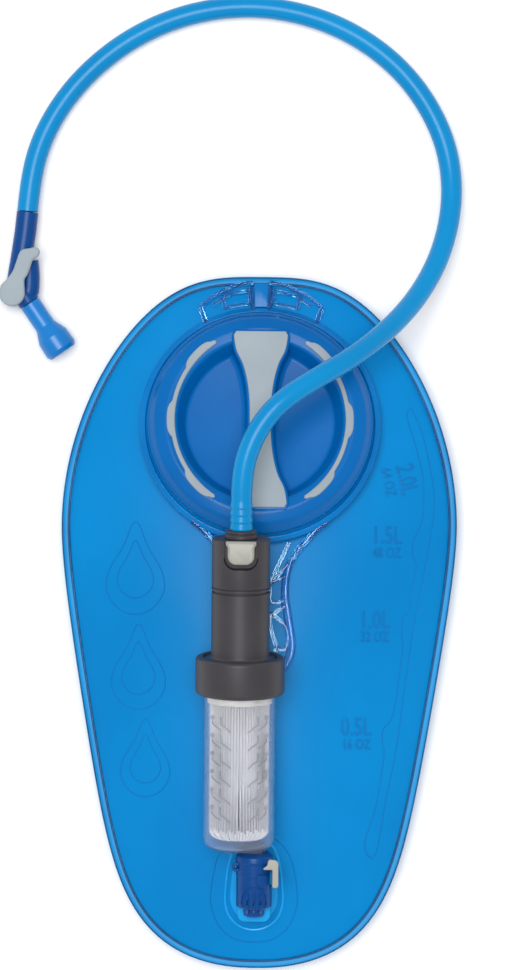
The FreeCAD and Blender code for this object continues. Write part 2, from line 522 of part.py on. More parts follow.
def make_valve():
    hose_end = V(*ROUTE[-1])
    outward = (BITE_HEAD - BITE_ROOT).normalize()
    knee = BITE_ROOT + outward * 7.0
    spigot_end = BITE_ROOT + outward * (STEM_LENGTH + 1.0)
    sleeve = between(SLEEVE_R, hose_end, SLEEVE_FOOT, skip=0.4)
    elbow = Part.makeSphere(SLEEVE_R, SLEEVE_FOOT)
    drum = cylinder(DRUM_R, VALVE_Z - 6.4, VALVE_Z + DRUM_TOP, PIVOT.x, PIVOT.y)
    spigot = along_bite([(0, -1.0), (SLEEVE_R, -1.0), (SLEEVE_R, 9.0), (STEM_TIP_R, 9.0),
                         (STEM_TIP_R, 17.0), (STEM_TIP_R - 0.8, STEM_LENGTH), (0, STEM_LENGTH)])
    flow = between(FLOW_R, hose_end, PIVOT).multiFuse([between(FLOW_R, PIVOT, knee),
                                                       Part.makeSphere(FLOW_R, knee),
                                                       between(FLOW_R, knee, spigot_end)])
    seat = cylinder(BARREL_R + BARREL_GAP, VALVE_Z - 5.0, VALVE_Z + 20, PIVOT.x, PIVOT.y)
    body = sleeve.multiFuse([elbow, drum, spigot]).cut(flow).cut(seat)
    keep("valve_body", body.removeSplitter())

    barrel = cylinder(BARREL_R, VALVE_Z - 4.9, VALVE_Z + DRUM_TOP + 0.3, PIVOT.x, PIVOT.y)
    inlet = between(FLOW_R, PIVOT + (hose_end - PIVOT) * 0.3, PIVOT)
    outlet = between(FLOW_R, PIVOT, knee)
    keep("valve_barrel", barrel.cut(inlet.fuse(outlet)))

    low, high = VALVE_Z + DRUM_TOP + 0.3, VALVE_Z + DRUM_TOP + 3.3
    hub = cylinder(LEVER_R, low, high, PIVOT.x, PIVOT.y)
    foot = V(PIVOT.x, PIVOT.y, 0)
    ahead = (LEVER_TIP - foot).normalize()
    side = V(-ahead.y, ahead.x, 0)
    root = foot + ahead * 3.0
    corners = (root + side * 5.6, LEVER_TIP + side * 4.4, LEVER_TIP - side * 4.4, root - side * 5.6)
    paddle = prism([(p.x, p.y) for p in corners], low, high)
    thumb = cylinder(4.4, low, high + 1.6, LEVER_TIP.x, LEVER_TIP.y)
    keep("shutoff_lever", hub.multiFuse([paddle, thumb]).removeSplitter())

    bore = STEM_TIP_R + BARREL_GAP
    end = (BITE_HEAD - BITE_ROOT).Length
    head = end - BITE_HEAD_LENGTH
    inner = BITE_HEAD_R - 3.0
    sheath = along_bite([(bore, 9.3), (BITE_STEM_R, 9.3), (BITE_STEM_R, head - BITE_FLARE),
                         (BITE_HEAD_R, head), (BITE_HEAD_R, end - 2.0), (BITE_HEAD_R - 1.2, end - 0.6),
                         (0, end), (0, end - 3.0), (inner, end - 4.0), (inner, head + 2.0), (bore, head)])
    keep("bite_valve", sheath)


make_bag()
make_port()
make_hang_loops()
make_handle()
make_cap()
make_filter()
make_coupling()
make_hose_plug()
make_exit()
make_hose()
make_valve()

os.makedirs("parts", exist_ok=True)
for name, shape in PARTS.items():
    shape.exportStep("parts/" + name + ".step")
    bounds = shape.optimalBoundingBox(False)
    print("%-26s solids %d valid %s volume %.0f  z %.1f..%.1f"
          % (name, len(shape.Solids), shape.isValid(), shape.Volume, bounds.ZMin, bounds.ZMax))
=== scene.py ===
import json
import math

import bmesh
import bpy
from mathutils import Matrix, Vector


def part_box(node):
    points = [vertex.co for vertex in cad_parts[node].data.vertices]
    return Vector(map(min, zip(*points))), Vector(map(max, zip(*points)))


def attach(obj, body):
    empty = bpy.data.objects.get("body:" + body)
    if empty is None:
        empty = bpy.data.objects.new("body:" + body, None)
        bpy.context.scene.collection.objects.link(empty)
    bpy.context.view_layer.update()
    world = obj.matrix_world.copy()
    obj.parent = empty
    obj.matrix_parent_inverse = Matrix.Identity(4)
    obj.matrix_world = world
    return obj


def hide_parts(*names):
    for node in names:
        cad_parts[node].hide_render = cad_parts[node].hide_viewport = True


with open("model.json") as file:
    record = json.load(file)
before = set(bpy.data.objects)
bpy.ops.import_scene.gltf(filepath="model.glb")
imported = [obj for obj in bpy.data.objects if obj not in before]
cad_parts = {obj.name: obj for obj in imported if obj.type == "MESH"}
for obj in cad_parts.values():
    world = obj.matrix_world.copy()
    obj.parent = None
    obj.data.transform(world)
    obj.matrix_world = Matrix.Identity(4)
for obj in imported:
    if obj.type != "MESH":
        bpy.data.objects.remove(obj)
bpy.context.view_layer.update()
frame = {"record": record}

# Shapes are written in millimetres and scaled to metres where each mesh is made.
MM = 0.001

# --- bag: outline and dome of the two films ---
HALF_LENGTH = 179.7
HALF_WIDTH = 102.8
WIDEST_Y = 50.0
TOP_DRAW, TOP_POWER, TOP_ROUND = 0.19, 1.96, 3.23
FOOT_DRAW, FOOT_EASE = 0.408, 0.174
FOOT_POWER, FOOT_ROUND = 9.3, 2.25
DOME_Y = -20.0
SEAM_Z = 16.0
FRONT_RISE = 28.0
WELD = 4.0
SKIN = 0.4
MOUTH_R = 49.0
DOME_POWER = 0.9
FRONT_RINGS, RING_REACH, RING_POWER = 70, 0.985, 1.25
# Each row is (share of the outline's size, depth below the seam), from the rim to the flat back.
BACK_DROPS = ((1.0, 0.0), (0.992, 3.4), (0.98, 6.8), (0.962, 10.0), (0.94, 12.6), (0.91, 14.6),
              (0.87, 15.7), (0.83, 16.0))

# --- drinking tube's route ---
HOSE_R = 5.5
ROUTE = ((-9.2, 63.88, 85.74), (-9.2, 72.0, 87.02), (-7.5, 84.4, 88.5), (-3.2, 96.1, 89.3),
         (3.4, 106.7, 89.3), (12.1, 115.7, 88.2), (27.0, 125.8, 83.7), (44.0, 135.5, 75.0),
         (58.2, 146.0, 63.6), (70.7, 157.3, 50.5), (82.3, 171.5, 36.1), (91.8, 189.0, 23.7),
         (97.6, 209.0, 14.5), (99.0, 229.5, 9.0), (95.5, 250.0, 6.2), (86.5, 269.5, 5.6),
         (73.4, 286.9, 5.6), (57.3, 300.6, 5.6), (38.7, 311.1, 5.6),
         (18.1, 317.9, 5.6), (-3.5, 320.9, 5.6), (-25.5, 319.6, 5.6),
         (-47.2, 314.1, 5.6), (-67.9, 304.3, 5.6), (-86.5, 290.6, 5.6),
         (-102.5, 273.3, 5.6), (-114.5, 252.8, 6.2), (-120.6, 231.5, 7.8), (-122.1, 212.9, 8.5))


# --- local frames on the port, the filter and the valve ---

JOINTS = {joint["name"]: joint for joint in frame["record"]["behaviour"]["joints"]}


def box_centre(node):
    low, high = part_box(node)
    return Vector([(a + b) / 2 for a, b in zip(low, high)]) / MM


def axes_frame(z_axis, origin, x_axis=(1, 0, 0)):
    """A frame with the given Z and X, and its origin in millimetres."""
    z = Vector(z_axis).normalized()
    x = Vector(x_axis)
    y = z.cross(x)
    matrix = Matrix((x, y, z)).transposed().to_4x4()
    matrix.translation = origin
    return matrix


FILTER_AXIS = Vector(JOINTS["filter_release"]["axis"]).normalized()
ON_PORT = axes_frame(JOINTS["cap_turn"]["axis"], Vector(JOINTS["cap_turn"]["pos_m"]) / MM)
LINK_REACH = 101.9
NIPPLE_AT = Vector((8.2, 7.0, 0.0))
ON_LINK = axes_frame(FILTER_AXIS, box_centre("nipple_oring") + FILTER_AXIS * LINK_REACH)
ON_FILTER = ON_LINK @ Matrix.Translation(-NIPPLE_AT)
PIVOT = Vector(JOINTS["shutoff_turn"]["pos_m"]) / MM
BITE_ROOT = Vector((-125.8, 172.7, 8.5))
BITE_AXIS = Vector(JOINTS["bite_valve_pull"]["axis"]).normalized()
FLAT = Matrix.Identity(4)


# --- mesh helpers ---

JOIN_WITHIN = 0.000004
CARVE_JOIN_WITHIN = 0.001


def clean(mesh, distance):
    """Join points closer than distance, and turn the faces outwards."""
    cleaner = bmesh.new()
    cleaner.from_mesh(mesh)
    bmesh.ops.remove_doubles(cleaner, verts=cleaner.verts, dist=distance)
    bmesh.ops.recalc_face_normals(cleaner, faces=cleaner.faces)
    cleaner.to_mesh(mesh)
    cleaner.free()


def piece(name, verts, faces, material, body="root", place=FLAT, sharp=35, nodes=(), slot=None):
    """Make an object from millimetre points in a local frame, moving with its body."""
    mesh = bpy.data.meshes.new(name)
    mesh.from_pydata([(place @ Vector(v)) * MM for v in verts], [], faces)
    mesh.validate()
    clean(mesh, JOIN_WITHIN)
    mesh.shade_smooth()
    mesh.set_sharp_from_angle(angle=math.radians(sharp))
    obj = bpy.data.objects.new(name, mesh)
    bpy.context.collection.objects.link(obj)
    mesh.materials.append(material)
    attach(obj, body)
    if nodes:
        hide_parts(*nodes)
    return obj


def rounded(corners, closed=False, steps=5):
    """Round a polyline's corners: each corner is (a, b) or (a, b, radius)."""
    result = []
    count = len(corners)
    for index, corner in enumerate(corners):
        here = Vector(corner[:2])
        radius = corner[2] if len(corner) > 2 else 0
        if radius == 0 or (not closed and index in (0, count - 1)):
            result.append(tuple(here))
            continue
        before = Vector(corners[index - 1][:2]) - here
        after = Vector(corners[(index + 1) % count][:2]) - here
        half = before.angle(after) / 2
        tangent = min(radius / math.tan(half), 0.49 * before.length, 0.49 * after.length)
        true_radius = tangent * math.tan(half)
        bisector = (before.normalized() + after.normalized()).normalized()
        centre = here + bisector * true_radius / math.sin(half)
        start = here + before.normalized() * tangent - centre
        end = here + after.normalized() * tangent - centre
        sweep = start.angle_signed(end)
        for step in range(steps + 1):
            turned = start.copy()
            turned.rotate(Matrix.Rotation(-sweep * step / steps, 2))
            result.append(tuple(centre + turned))
    return result


def lathe(profile, segments=96, closed=False):
    """Verts and faces of a profile of (radius, z) points turned about Z."""
    verts, faces = [], []
    rings = []
    for r, z in profile:
        if r < 1e-6:
            rings.append([len(verts)] * segments)
            verts.append((0, 0, z))
        else:
            rings.append(list(range(len(verts), len(verts) + segments)))
            for k in range(segments):
                angle = 2 * math.pi * k / segments
                verts.append((r * math.cos(angle), r * math.sin(angle), z))
    pairs = list(zip(rings, rings[1:]))
    if closed:
        pairs.append((rings[-1], rings[0]))
    for low, high in pairs:
        for k in range(segments):
            n = (k + 1) % segments
            corners = []
            for index in (low[k], low[n], high[n], high[k]):
                if index not in corners:
                    corners.append(index)
            if len(corners) > 2:
                faces.append(corners)
    return verts, faces


def band_faces(rows, count, closed=False):
    """Quads between rings of count points; closed joins the last ring to the first."""
    faces = []
    for row in range(rows if closed else rows - 1):
        above = (row + 1) % rows
        for k in range(count):
            n = (k + 1) % count
            faces.append((row * count + k, row * count + n, above * count + n, above * count + k))
    return faces


def last_ring(rows, count):
    return tuple(range((rows - 1) * count, rows * count))


def offset_loop(points, inset):
    """Move a closed counter-clockwise plan loop inwards along its corner normals."""
    result = []
    count = len(points)
    for index, point in enumerate(points):
        here = Vector(point)
        ahead = (Vector(points[(index + 1) % count]) - here).normalized()
        back = (here - Vector(points[index - 1])).normalized()
        normal = Vector((-(ahead.y + back.y), ahead.x + back.x))
        if normal.length < 1e-9:
            result.append(tuple(here))
            continue
        normal.normalize()
        result.append(tuple(here + normal * inset))
    return result


def anticlockwise(points):
    area = sum(a[0] * b[1] - b[0] * a[1] for a, b in zip(points, points[1:] + points[:1]))
    return points if area > 0 else points[::-1]


def slab(outline, levels):
    """A plate from a plan outline: levels are (inset, z) from the underside to the top."""
    outline = anticlockwise(outline)
    count = len(outline)
    verts = []
    for inset, z in levels:
        verts += [(x, y, z) for x, y in offset_loop(outline, inset)]
    faces = band_faces(len(levels), count)
    faces.append(tuple(range(count))[::-1])
    faces.append(last_ring(len(levels), count))
    return verts, faces


def pillow_levels(low, high, radius, steps=4):
    """Levels of a plate whose upper and lower edges are rounded."""
    lower = [(radius * (1 - math.sin(a)), low + radius * (1 - math.cos(a)))
             for a in (math.pi / 2 * k / steps for k in range(steps + 1))]
    upper = [(inset, high - (z - low)) for inset, z in reversed(lower)]
    return lower + upper


def merge(*shapes):
    verts, faces = [], []
    for shape_verts, shape_faces in shapes:
        start = len(verts)
        verts += list(shape_verts)
        faces += [tuple(start + i for i in face) for face in shape_faces]
    return verts, faces


def moved(shape, matrix):
    verts, faces = shape
    return [tuple(matrix @ Vector(v)) for v in verts], faces


def tube(points, radius, sides=12, closed=False, flatten=1.0):
    """A round bar along 3-D points; flatten squeezes it along Z."""
    points = [Vector(p) for p in points]
    count = len(points)
    verts = []
    for index, point in enumerate(points):
        if closed:
            along = points[(index + 1) % count] - points[index - 1]
        else:
            along = points[min(index + 1, count - 1)] - points[max(index - 1, 0)]
        along.normalize()
        side = along.cross(Vector((0, 0, 1)))
        if side.length < 1e-4:
            side = Vector((1, 0, 0))
        side.normalize()
        up = side.cross(along)
        for k in range(sides):
            angle = 2 * math.pi * k / sides
            across = side * radius * math.cos(angle)
            rise = up * radius * flatten * math.sin(angle)
            verts.append(tuple(point + across + rise))
    faces = band_faces(count, sides, closed)
    if not closed:
        faces.append(tuple(range(sides))[::-1])
        faces.append(last_ring(count, sides))
    return verts, faces


def smooth_line(points, spacing=1.5, closed=False):
    """Catmull-Rom points through given points, about spacing apart."""
    points = [Vector(p) for p in points]
    count = len(points)
    result = []
    spans = count if closed else count - 1
    for i in range(spans):
        if closed:
            a, b, c, d = (points[(i + k) % count] for k in (-1, 0, 1, 2))
        else:
            a, b = points[max(i - 1, 0)], points[i]
            c, d = points[i + 1], points[min(i + 2, count - 1)]
        steps = max(2, int((c - b).length / spacing))
        for step in range(steps):
            t = step / steps
            result.append(0.5 * (2 * b + (c - a) * t + (2 * a - 5 * b + 4 * c - d) * t ** 2
                                 + (3 * b - a - 3 * c + d) * t ** 3))
    if not closed:
        result.append(points[-1])
    return result


# --- materials ---

def linear(value):
    value /= 255
    return value / 12.92 if value <= 0.04045 else ((value + 0.055) / 1.055) ** 2.4


def srgb(red, green, blue):
    return (linear(red), linear(green), linear(blue), 1.0)


CLOUD_DETAIL, GRAIN_DETAIL = 4.0, 3.0
DARK_UNTIL, LIGHT_FROM = 0.3, 0.7
GRAIN_STRENGTH = 0.62


def finish(name, dark, light, roughness, grain=400.0, depth=0.00004, patch=25.0, spread=0.06, **sockets):
    """A moulded finish: patchy colour, uneven gloss and a fine grain in relief."""
    material = bpy.data.materials.new(name)
    material.use_nodes = True
    tree = material.node_tree
    shader = tree.nodes["Principled BSDF"]
    place = tree.nodes.new("ShaderNodeTexCoord")
    clouds = tree.nodes.new("ShaderNodeTexNoise")
    clouds.inputs["Scale"].default_value = patch
    clouds.inputs["Detail"].default_value = CLOUD_DETAIL
    ramp = tree.nodes.new("ShaderNodeValToRGB")
    ramp.color_ramp.elements[0].position = DARK_UNTIL
    ramp.color_ramp.elements[0].color = dark
    ramp.color_ramp.elements[1].position = LIGHT_FROM
    ramp.color_ramp.elements[1].color = light
    gloss = tree.nodes.new("ShaderNodeMapRange")
    gloss.inputs["To Min"].default_value = max(0.02, roughness - spread)
    gloss.inputs["To Max"].default_value = roughness + spread
    fine = tree.nodes.new("ShaderNodeTexNoise")
    fine.inputs["Scale"].default_value = grain
    fine.inputs["Detail"].default_value = GRAIN_DETAIL
    relief = tree.nodes.new("ShaderNodeBump")
    relief.inputs["Strength"].default_value = GRAIN_STRENGTH
    relief.inputs["Distance"].default_value = depth
    link = tree.links.new
    link(place.outputs["Object"], clouds.inputs["Vector"])
    link(place.outputs["Object"], fine.inputs["Vector"])
    link(clouds.outputs["Fac"], ramp.inputs["Fac"])
    link(ramp.outputs["Color"], shader.inputs["Base Color"])
    link(clouds.outputs["Fac"], gloss.inputs["Value"])
    link(gloss.outputs["Result"], shader.inputs["Roughness"])
    link(fine.outputs["Fac"], relief.inputs["Height"])
    link(relief.outputs["Normal"], shader.inputs["Normal"])
    for socket, value in sockets.items():
        shader.inputs[socket.replace("_", " ")].default_value = value
    return material


def knurled(material, scale, depth):
    """Replace a finish's grain with small raised cells."""
    tree = material.node_tree
    relief = next(n for n in tree.nodes if n.type == "BUMP")
    cells = tree.nodes.new("ShaderNodeTexVoronoi")
    cells.inputs["Scale"].default_value = scale
    cells.inputs["Randomness"].default_value = 0.2
    place = next(n for n in tree.nodes if n.type == "TEX_COORD")
    tree.links.new(place.outputs["Object"], cells.inputs["Vector"])
    tree.links.new(cells.outputs["Distance"], relief.inputs["Height"])
    relief.inputs["Strength"].default_value = 1.0
    relief.inputs["Distance"].default_value = depth
    return material


FILM_BLUE = finish("film_blue", srgb(0, 117, 183), srgb(0, 128, 195), 0.36, grain=900, depth=0.00002, patch=9,
                   Specular_IOR_Level=0.1)
RIM_BLUE = finish("rim_blue", srgb(0, 122, 186), srgb(0, 140, 204), 0.3, grain=900, depth=0.00002,
                  Specular_IOR_Level=0.12)
# Painted shade: the weld's outer bead and inner knurl band get a darker blue that stands for the shade along
# the rim's edges; the knurl's cells are real relief.
WELD_EDGE_SHADE_BLUE = knurled(finish("weld_edge_painted_shade", srgb(0, 58, 100), srgb(0, 88, 142), 0.35), 900, 0.0003)
# Painted shade: the raised scale lines, volume marks, drops and the exit pad's edge get a darker blue that
# stands for the shade along their relief.
RELIEF_SHADE_BLUE = finish("relief_painted_shade", srgb(0, 104, 170), srgb(0, 114, 182), 0.45, Specular_IOR_Level=0.2)
WELL_BLUE = finish("well_blue", srgb(0, 140, 208), srgb(0, 152, 218), 0.24, Specular_IOR_Level=0.3)
CAP_BLUE = finish("cap_blue", srgb(0, 88, 158), srgb(0, 100, 172), 0.24, grain=1500, depth=0.00001, patch=14,
                  Specular_IOR_Level=0.14)
PORT_BLUE = finish("port_blue", srgb(0, 100, 170), srgb(0, 116, 188), 0.16, grain=1500, depth=0.00001,
                   Specular_IOR_Level=0.16)
CLEAR_BLUE = finish("clear_blue", srgb(150, 215, 245), srgb(175, 226, 250), 0.05, grain=1200, depth=0.00001,
                    spread=0.02, Transmission_Weight=1.0, IOR=1.4)
GREY_GRIP = finish("grip_grey", srgb(140, 151, 159), srgb(152, 163, 170), 0.6, grain=1800, depth=0.00003,
                   Specular_IOR_Level=0.3)
BLACK = finish("black_plastic", srgb(50, 48, 52), srgb(60, 58, 62), 0.42, grain=1400, depth=0.00003,
               Specular_IOR_Level=0.3)
# Painted shade: a near-black line round the button's recess stands for the shade in the gap.
GROOVE_SHADE_BLACK = finish("groove_painted_shade", srgb(14, 14, 15), srgb(22, 21, 23), 0.6, Specular_IOR_Level=0.1)
BUTTON_GREY = finish("button_grey", srgb(144, 143, 136), srgb(158, 157, 149), 0.42, grain=1500, depth=0.00002)
NAVY = finish("navy_plastic", srgb(0, 58, 122), srgb(2, 68, 136), 0.3, grain=1500, depth=0.00002,
              Specular_IOR_Level=0.2)
FROSTED = finish("frosted_clear", srgb(240, 241, 246), srgb(250, 250, 253), 0.2, grain=900, depth=0.00002,
                 Transmission_Weight=0.95, IOR=1.12)
# Painted shade: the shell's embossed pattern is drawn in a darker, mostly opaque grey that stands for the
# shade along the relief.
EMBOSSED_SHADE_GREY = finish("embossed_painted_shade", srgb(150, 154, 166), srgb(164, 168, 180), 0.35, grain=900, depth=0.00002,
                  Transmission_Weight=0.2, IOR=1.15)
FIBRE = finish("fibre_white", srgb(226, 228, 232), srgb(246, 247, 249), 0.8, grain=2500, depth=0.0001)
RESIN = finish("potting_resin", srgb(205, 205, 198), srgb(222, 222, 214), 0.45)
HOSE_BLUE = finish("hose_blue", srgb(0, 124, 184), srgb(0, 134, 194), 0.24, grain=1500, depth=0.00001,
                   patch=18, Specular_IOR_Level=0.2)
SILICONE = finish("silicone_blue", srgb(0, 104, 178), srgb(0, 118, 192), 0.3, grain=1200, depth=0.00002,
                  Specular_IOR_Level=0.4)
SEAL = finish("seal_rubber", srgb(26, 26, 28), srgb(36, 36, 38), 0.6)
STEEL = finish("spring_steel", srgb(165, 166, 170), srgb(190, 191, 195), 0.3, Metallic=1.0)

NODE_MATERIALS = {"seal_rubber": SEAL, "spring_steel": STEEL, "potting_resin": RESIN,
                  "black_plastic": BLACK, "navy_plastic": NAVY, "grip_grey": GREY_GRIP,
                  "button_grey": BUTTON_GREY, "film_blue": FILM_BLUE, "clear_blue": PORT_BLUE,
                  "cap_blue": CAP_BLUE, "frosted_clear": FROSTED, "fibre_white": FIBRE,
                  "hose_blue": HOSE_BLUE, "silicone_blue": SILICONE}


def finish_cad_nodes():
    """Give each node that stays visible the finish of its material slot."""
    slots = {part["node"]: part["material_slot"] for part in frame["record"]["subparts"]}
    for node, slot in slots.items():
        obj = bpy.data.objects.get(node)
        if obj is None:
            continue
        for material_slot in obj.material_slots:
            material_slot.material = NODE_MATERIALS[slot]


# --- bag ---

def half_width(y):
    if y >= WIDEST_Y:
        t = min(1.0, (y - WIDEST_Y) / (HALF_LENGTH - WIDEST_Y))
        return HALF_WIDTH * (1 - TOP_DRAW * t ** 2) * (1 - t ** TOP_POWER) ** (1 / TOP_ROUND)
    t = min(1.0, (WIDEST_Y - y) / (HALF_LENGTH + WIDEST_Y))
    return HALF_WIDTH * (1 - FOOT_DRAW * t ** 2 / (t + FOOT_EASE)) * (1 - t ** FOOT_POWER) ** (1 / FOOT_ROUND)


def outline(steps=120):
    """The bag's outline anticlockwise from the top, evenly spaced by length."""
    fine = 1500
    right = []
    for k in range(fine + 1):
        angle = math.radians(90 - 180 * k / fine)
        reach = HALF_LENGTH - WIDEST_Y if angle > 0 else HALF_LENGTH + WIDEST_Y
        y = WIDEST_Y + reach * math.sin(angle)
        right.append((half_width(y), y))
    lengths = [0.0]
    for a, b in zip(right, right[1:]):
        lengths.append(lengths[-1] + math.hypot(b[0] - a[0], b[1] - a[1]))
    even, cursor = [], 0
    for k in range(steps + 1):
        target = lengths[-1] * k / steps
        while cursor < fine - 1 and lengths[cursor + 1] < target:
            cursor += 1
        share = (target - lengths[cursor]) / max(1e-9, lengths[cursor + 1] - lengths[cursor])
        a, b = right[cursor], right[cursor + 1]
        even.append((a[0] + (b[0] - a[0]) * share, a[1] + (b[1] - a[1]) * share))
    left = [(-x, y) for x, y in even]
    return left[:-1] + even[::-1][:-1]


OUTLINE = outline()


def shrunk(inset, shrink):
    fx = (1 - inset / HALF_WIDTH) * shrink
    fy = (1 - inset / (HALF_LENGTH - DOME_Y)) * shrink
    return [(x * fx, DOME_Y + (y - DOME_Y) * fy) for x, y in OUTLINE]


def front_height(shrink):
    return SEAM_Z + FRONT_RISE * max(0.0, 1 - shrink ** 2) ** DOME_POWER


def front_z(x, y):
    """Height of the front film above a plan point."""
    low, high = 0.0, 1.2
    fx = 1 - WELD / HALF_WIDTH
    fy = 1 - WELD / (HALF_LENGTH - DOME_Y)
    for _ in range(30):
        mid = (low + high) / 2
        inside_y = abs(y - DOME_Y) <= (HALF_LENGTH + (DOME_Y if y < DOME_Y else -DOME_Y)) * fy * mid
        if inside_y and mid > 0 and abs(x) <= fx * mid * half_width(DOME_Y + (y - DOME_Y) / (fy * mid)):
            high = mid
        else:
            low = mid
    return front_height(min(1.0, high))


def make_bag():
    count = len(OUTLINE)
    shrinks = [1 - RING_REACH * (k / FRONT_RINGS) ** RING_POWER for k in range(FRONT_RINGS + 1)]
    verts = []
    for shrink in shrinks:
        verts += [(x, y, front_height(shrink)) for x, y in shrunk(WELD, shrink)]
    faces = band_faces(len(shrinks), count)
    faces.append(last_ring(len(shrinks), count))
    to_port = ON_PORT.inverted()

    def in_mouth(face):
        middle = sum((Vector(verts[i]) for i in face), Vector()) / len(face)
        local = to_port @ middle
        return math.hypot(local.x, local.y) < MOUTH_R

    faces = [face for face in faces if not in_mouth(face)]
    inner = [(x, y, z - SKIN) for x, y, z in verts]
    start = len(verts)
    shell_faces = faces + [tuple(start + i for i in reversed(face)) for face in faces]
    edges = {}
    for face in faces:
        for a, b in zip(face, face[1:] + face[:1]):
            edges[(a, b)] = edges.get((a, b), 0) + 1
    for a, b in edges:
        if (b, a) not in edges:
            shell_faces.append((b, a, start + a, start + b))
    piece("bag_front", verts + inner, shell_faces, FILM_BLUE, nodes=("bag_front_film",), slot="film_blue")

    back = []
    for shrink, drop in BACK_DROPS:
        back += [(x, y, SEAM_Z - drop) for x, y in shrunk(WELD, shrink)]
    back_faces = [(b, a, d, c) for a, b, c, d in band_faces(len(BACK_DROPS), count)]
    back_faces.append(last_ring(len(BACK_DROPS), count)[::-1])
    lid = []
    for shrink, drop in BACK_DROPS:
        lid += [(x, y, SEAM_Z - drop + SKIN) for x, y in shrunk(WELD + SKIN, shrink)]
    start = len(back)
    back_faces += [tuple(start + i for i in reversed(face)) for face in back_faces]
    for k in range(count):
        n = (k + 1) % count
        back_faces.append((k, n, start + n, start + k))
    piece("bag_back", back + lid, back_faces, FILM_BLUE, nodes=("bag_back_film",), slot="film_blue")


# Sections of the rim's bands, as (inset from the outline, height above the seam).
WELD_SECTION = ((0.0, 0.0), (0.15, 0.45), (0.5, 0.6), (1.0, 0.35), (3.0, 0.3), (4.6, 0.5),
                (4.6, -0.5), (3.0, -0.3), (1.0, -0.35), (0.5, -0.6), (0.15, -0.45))
BEAD_SECTION = ((0.05, 0.1), (0.15, 0.55), (0.45, 0.72), (0.75, 0.55), (0.85, 0.3))
KNURL_SECTION = ((3.1, 0.2), (3.2, 0.75), (3.6, 0.95), (4.1, 1.1), (4.4, 0.9), (4.5, 0.2))


def rim_band(name, section, material, nodes=()):
    """A closed band round the bag."""
    verts = []
    for inset, rise in section:
        verts += [(x, y, SEAM_Z + rise) for x, y in offset_loop(OUTLINE, inset)]
    faces = band_faces(len(section), len(OUTLINE), closed=True)
    piece(name, verts, faces, material, nodes=nodes, slot="film_blue")


def make_rim():
    rim_band("weld_rim", WELD_SECTION, RIM_BLUE, nodes=("perimeter_weld",))
    # The outer bead and the knurl band are coloured with painted shade.
    rim_band("weld_edge_bead", BEAD_SECTION, WELD_EDGE_SHADE_BLUE)
    rim_band("weld_knurl", KNURL_SECTION, WELD_EDGE_SHADE_BLUE)


# --- volume scale in relief ---

GAUGE_RIGHT = ((78.4, 112.1), (84.7, 97.5), (89.9, 73.6), (90.6, 59.0), (88.6, 43.4), (84.9, 22.6),
               (80.9, 1.8), (76.6, -29.9), (72.2, -64.7), (67.5, -88.7), (62.3, -118.8), (59.2, -121.4))
GAUGE_LEFT = ((59.2, -121.4), (57.0, -118.8), (56.5, -112.6), (62.1, -93.3), (65.8, -67.9), (65.0, -62.0),
              (65.3, -54.5), (70.5, -46.0), (74.9, -13.8), (74.6, -8.0), (74.8, 2.8), (78.3, 7.5),
              (78.7, 14.8), (81.7, 30.9), (79.9, 34.5), (79.9, 43.0), (84.6, 54.3), (85.0, 73.6),
              (81.7, 89.7), (76.1, 108.4), (78.4, 112.1))
# Each mark is (text, x, y, turn in degrees, height of its capitals).
SCALE_MARKS = (("2.0L", 76.4, 75.1, -77, 9.5), ("64 OZ", 66.8, 73.6, -77, 5.5),
               ("1.5L", 66.3, 45.7, 0, 9.5), ("48 OZ", 66.4, 36.7, 0, 5.5),
               ("1.0L", 60.4, 1.8, 0, 9.5), ("32 OZ", 60.4, -6.8, 0, 5.5),
               ("0.5L", 51.3, -53.8, 0, 9.5), ("16 OZ", 51.4, -62.7, 0, 5.5))
LETTER_SIZE, LETTER_WIDTH = 1.38, 0.72
LETTER_RAISE, LETTER_EDGE = 0.28, 0.12

def relief_line(points, radius=0.3):
    draped = [(p.x, p.y, front_z(p.x, p.y) - 0.1) for p in smooth_line([(x, y, 0) for x, y in points])]
    return tube(draped, radius, sides=8)


def relief_text(text, x, y, turn, height):
    """Raised numerals of the volume scale, draped on the film."""
    curve = bpy.data.curves.new("mark", "FONT")
    curve.body = text
    curve.size = height * LETTER_SIZE
    curve.align_x = "CENTER"
    curve.align_y = "CENTER"
    curve.resolution_u = 3
    curve.extrude = LETTER_RAISE
    curve.bevel_depth = LETTER_EDGE
    curve.bevel_resolution = 1
    curve.offset = -0.1
    holder = bpy.data.objects.new("mark", curve)
    bpy.context.collection.objects.link(holder)
    flat = bpy.data.meshes.new_from_object(holder)
    spin = Matrix.Rotation(math.radians(turn), 4, "Z") @ Matrix.Diagonal((LETTER_WIDTH, 1.0, 1.0, 1.0))
    verts = []
    for vertex in flat.vertices:
        at = spin @ vertex.co
        verts.append((x + at.x, y + at.y, front_z(x + at.x, y + at.y) + at.z + 0.05))
    faces = [tuple(face.vertices) for face in flat.polygons]
    bpy.data.objects.remove(holder)
    bpy.data.curves.remove(curve)
    bpy.data.meshes.remove(flat)
    return verts, faces


def make_scale():
    lines = merge(relief_line(GAUGE_RIGHT), relief_line(GAUGE_LEFT))
    piece("volume_scale_channel", *lines, RELIEF_SHADE_BLUE, slot="film_blue")
    marks = merge(*[relief_text(*mark) for mark in SCALE_MARKS])
    piece("volume_scale_marks", *marks, RELIEF_SHADE_BLUE, slot="film_blue", sharp=25)


# --- fill port, loops, handle ---

LUG_HALF_ANGLE = math.radians(12.5)


def lug_ring(outer_r, inner_r, low, high):
    """Three thread lugs, a third of a turn apart."""
    lugs = []
    for index in range(3):
        middle = math.radians(120 * index + 90)
        arc = [middle + LUG_HALF_ANGLE * t for t in (-1, -0.5, 0, 0.5, 1)]
        plan = [(outer_r * math.cos(a), outer_r * math.sin(a)) for a in arc]
        plan += [(inner_r * math.cos(a), inner_r * math.sin(a)) for a in reversed(arc)]
        lugs.append(slab(plan, pillow_levels(low, high, 0.3, 2)))
    return lugs


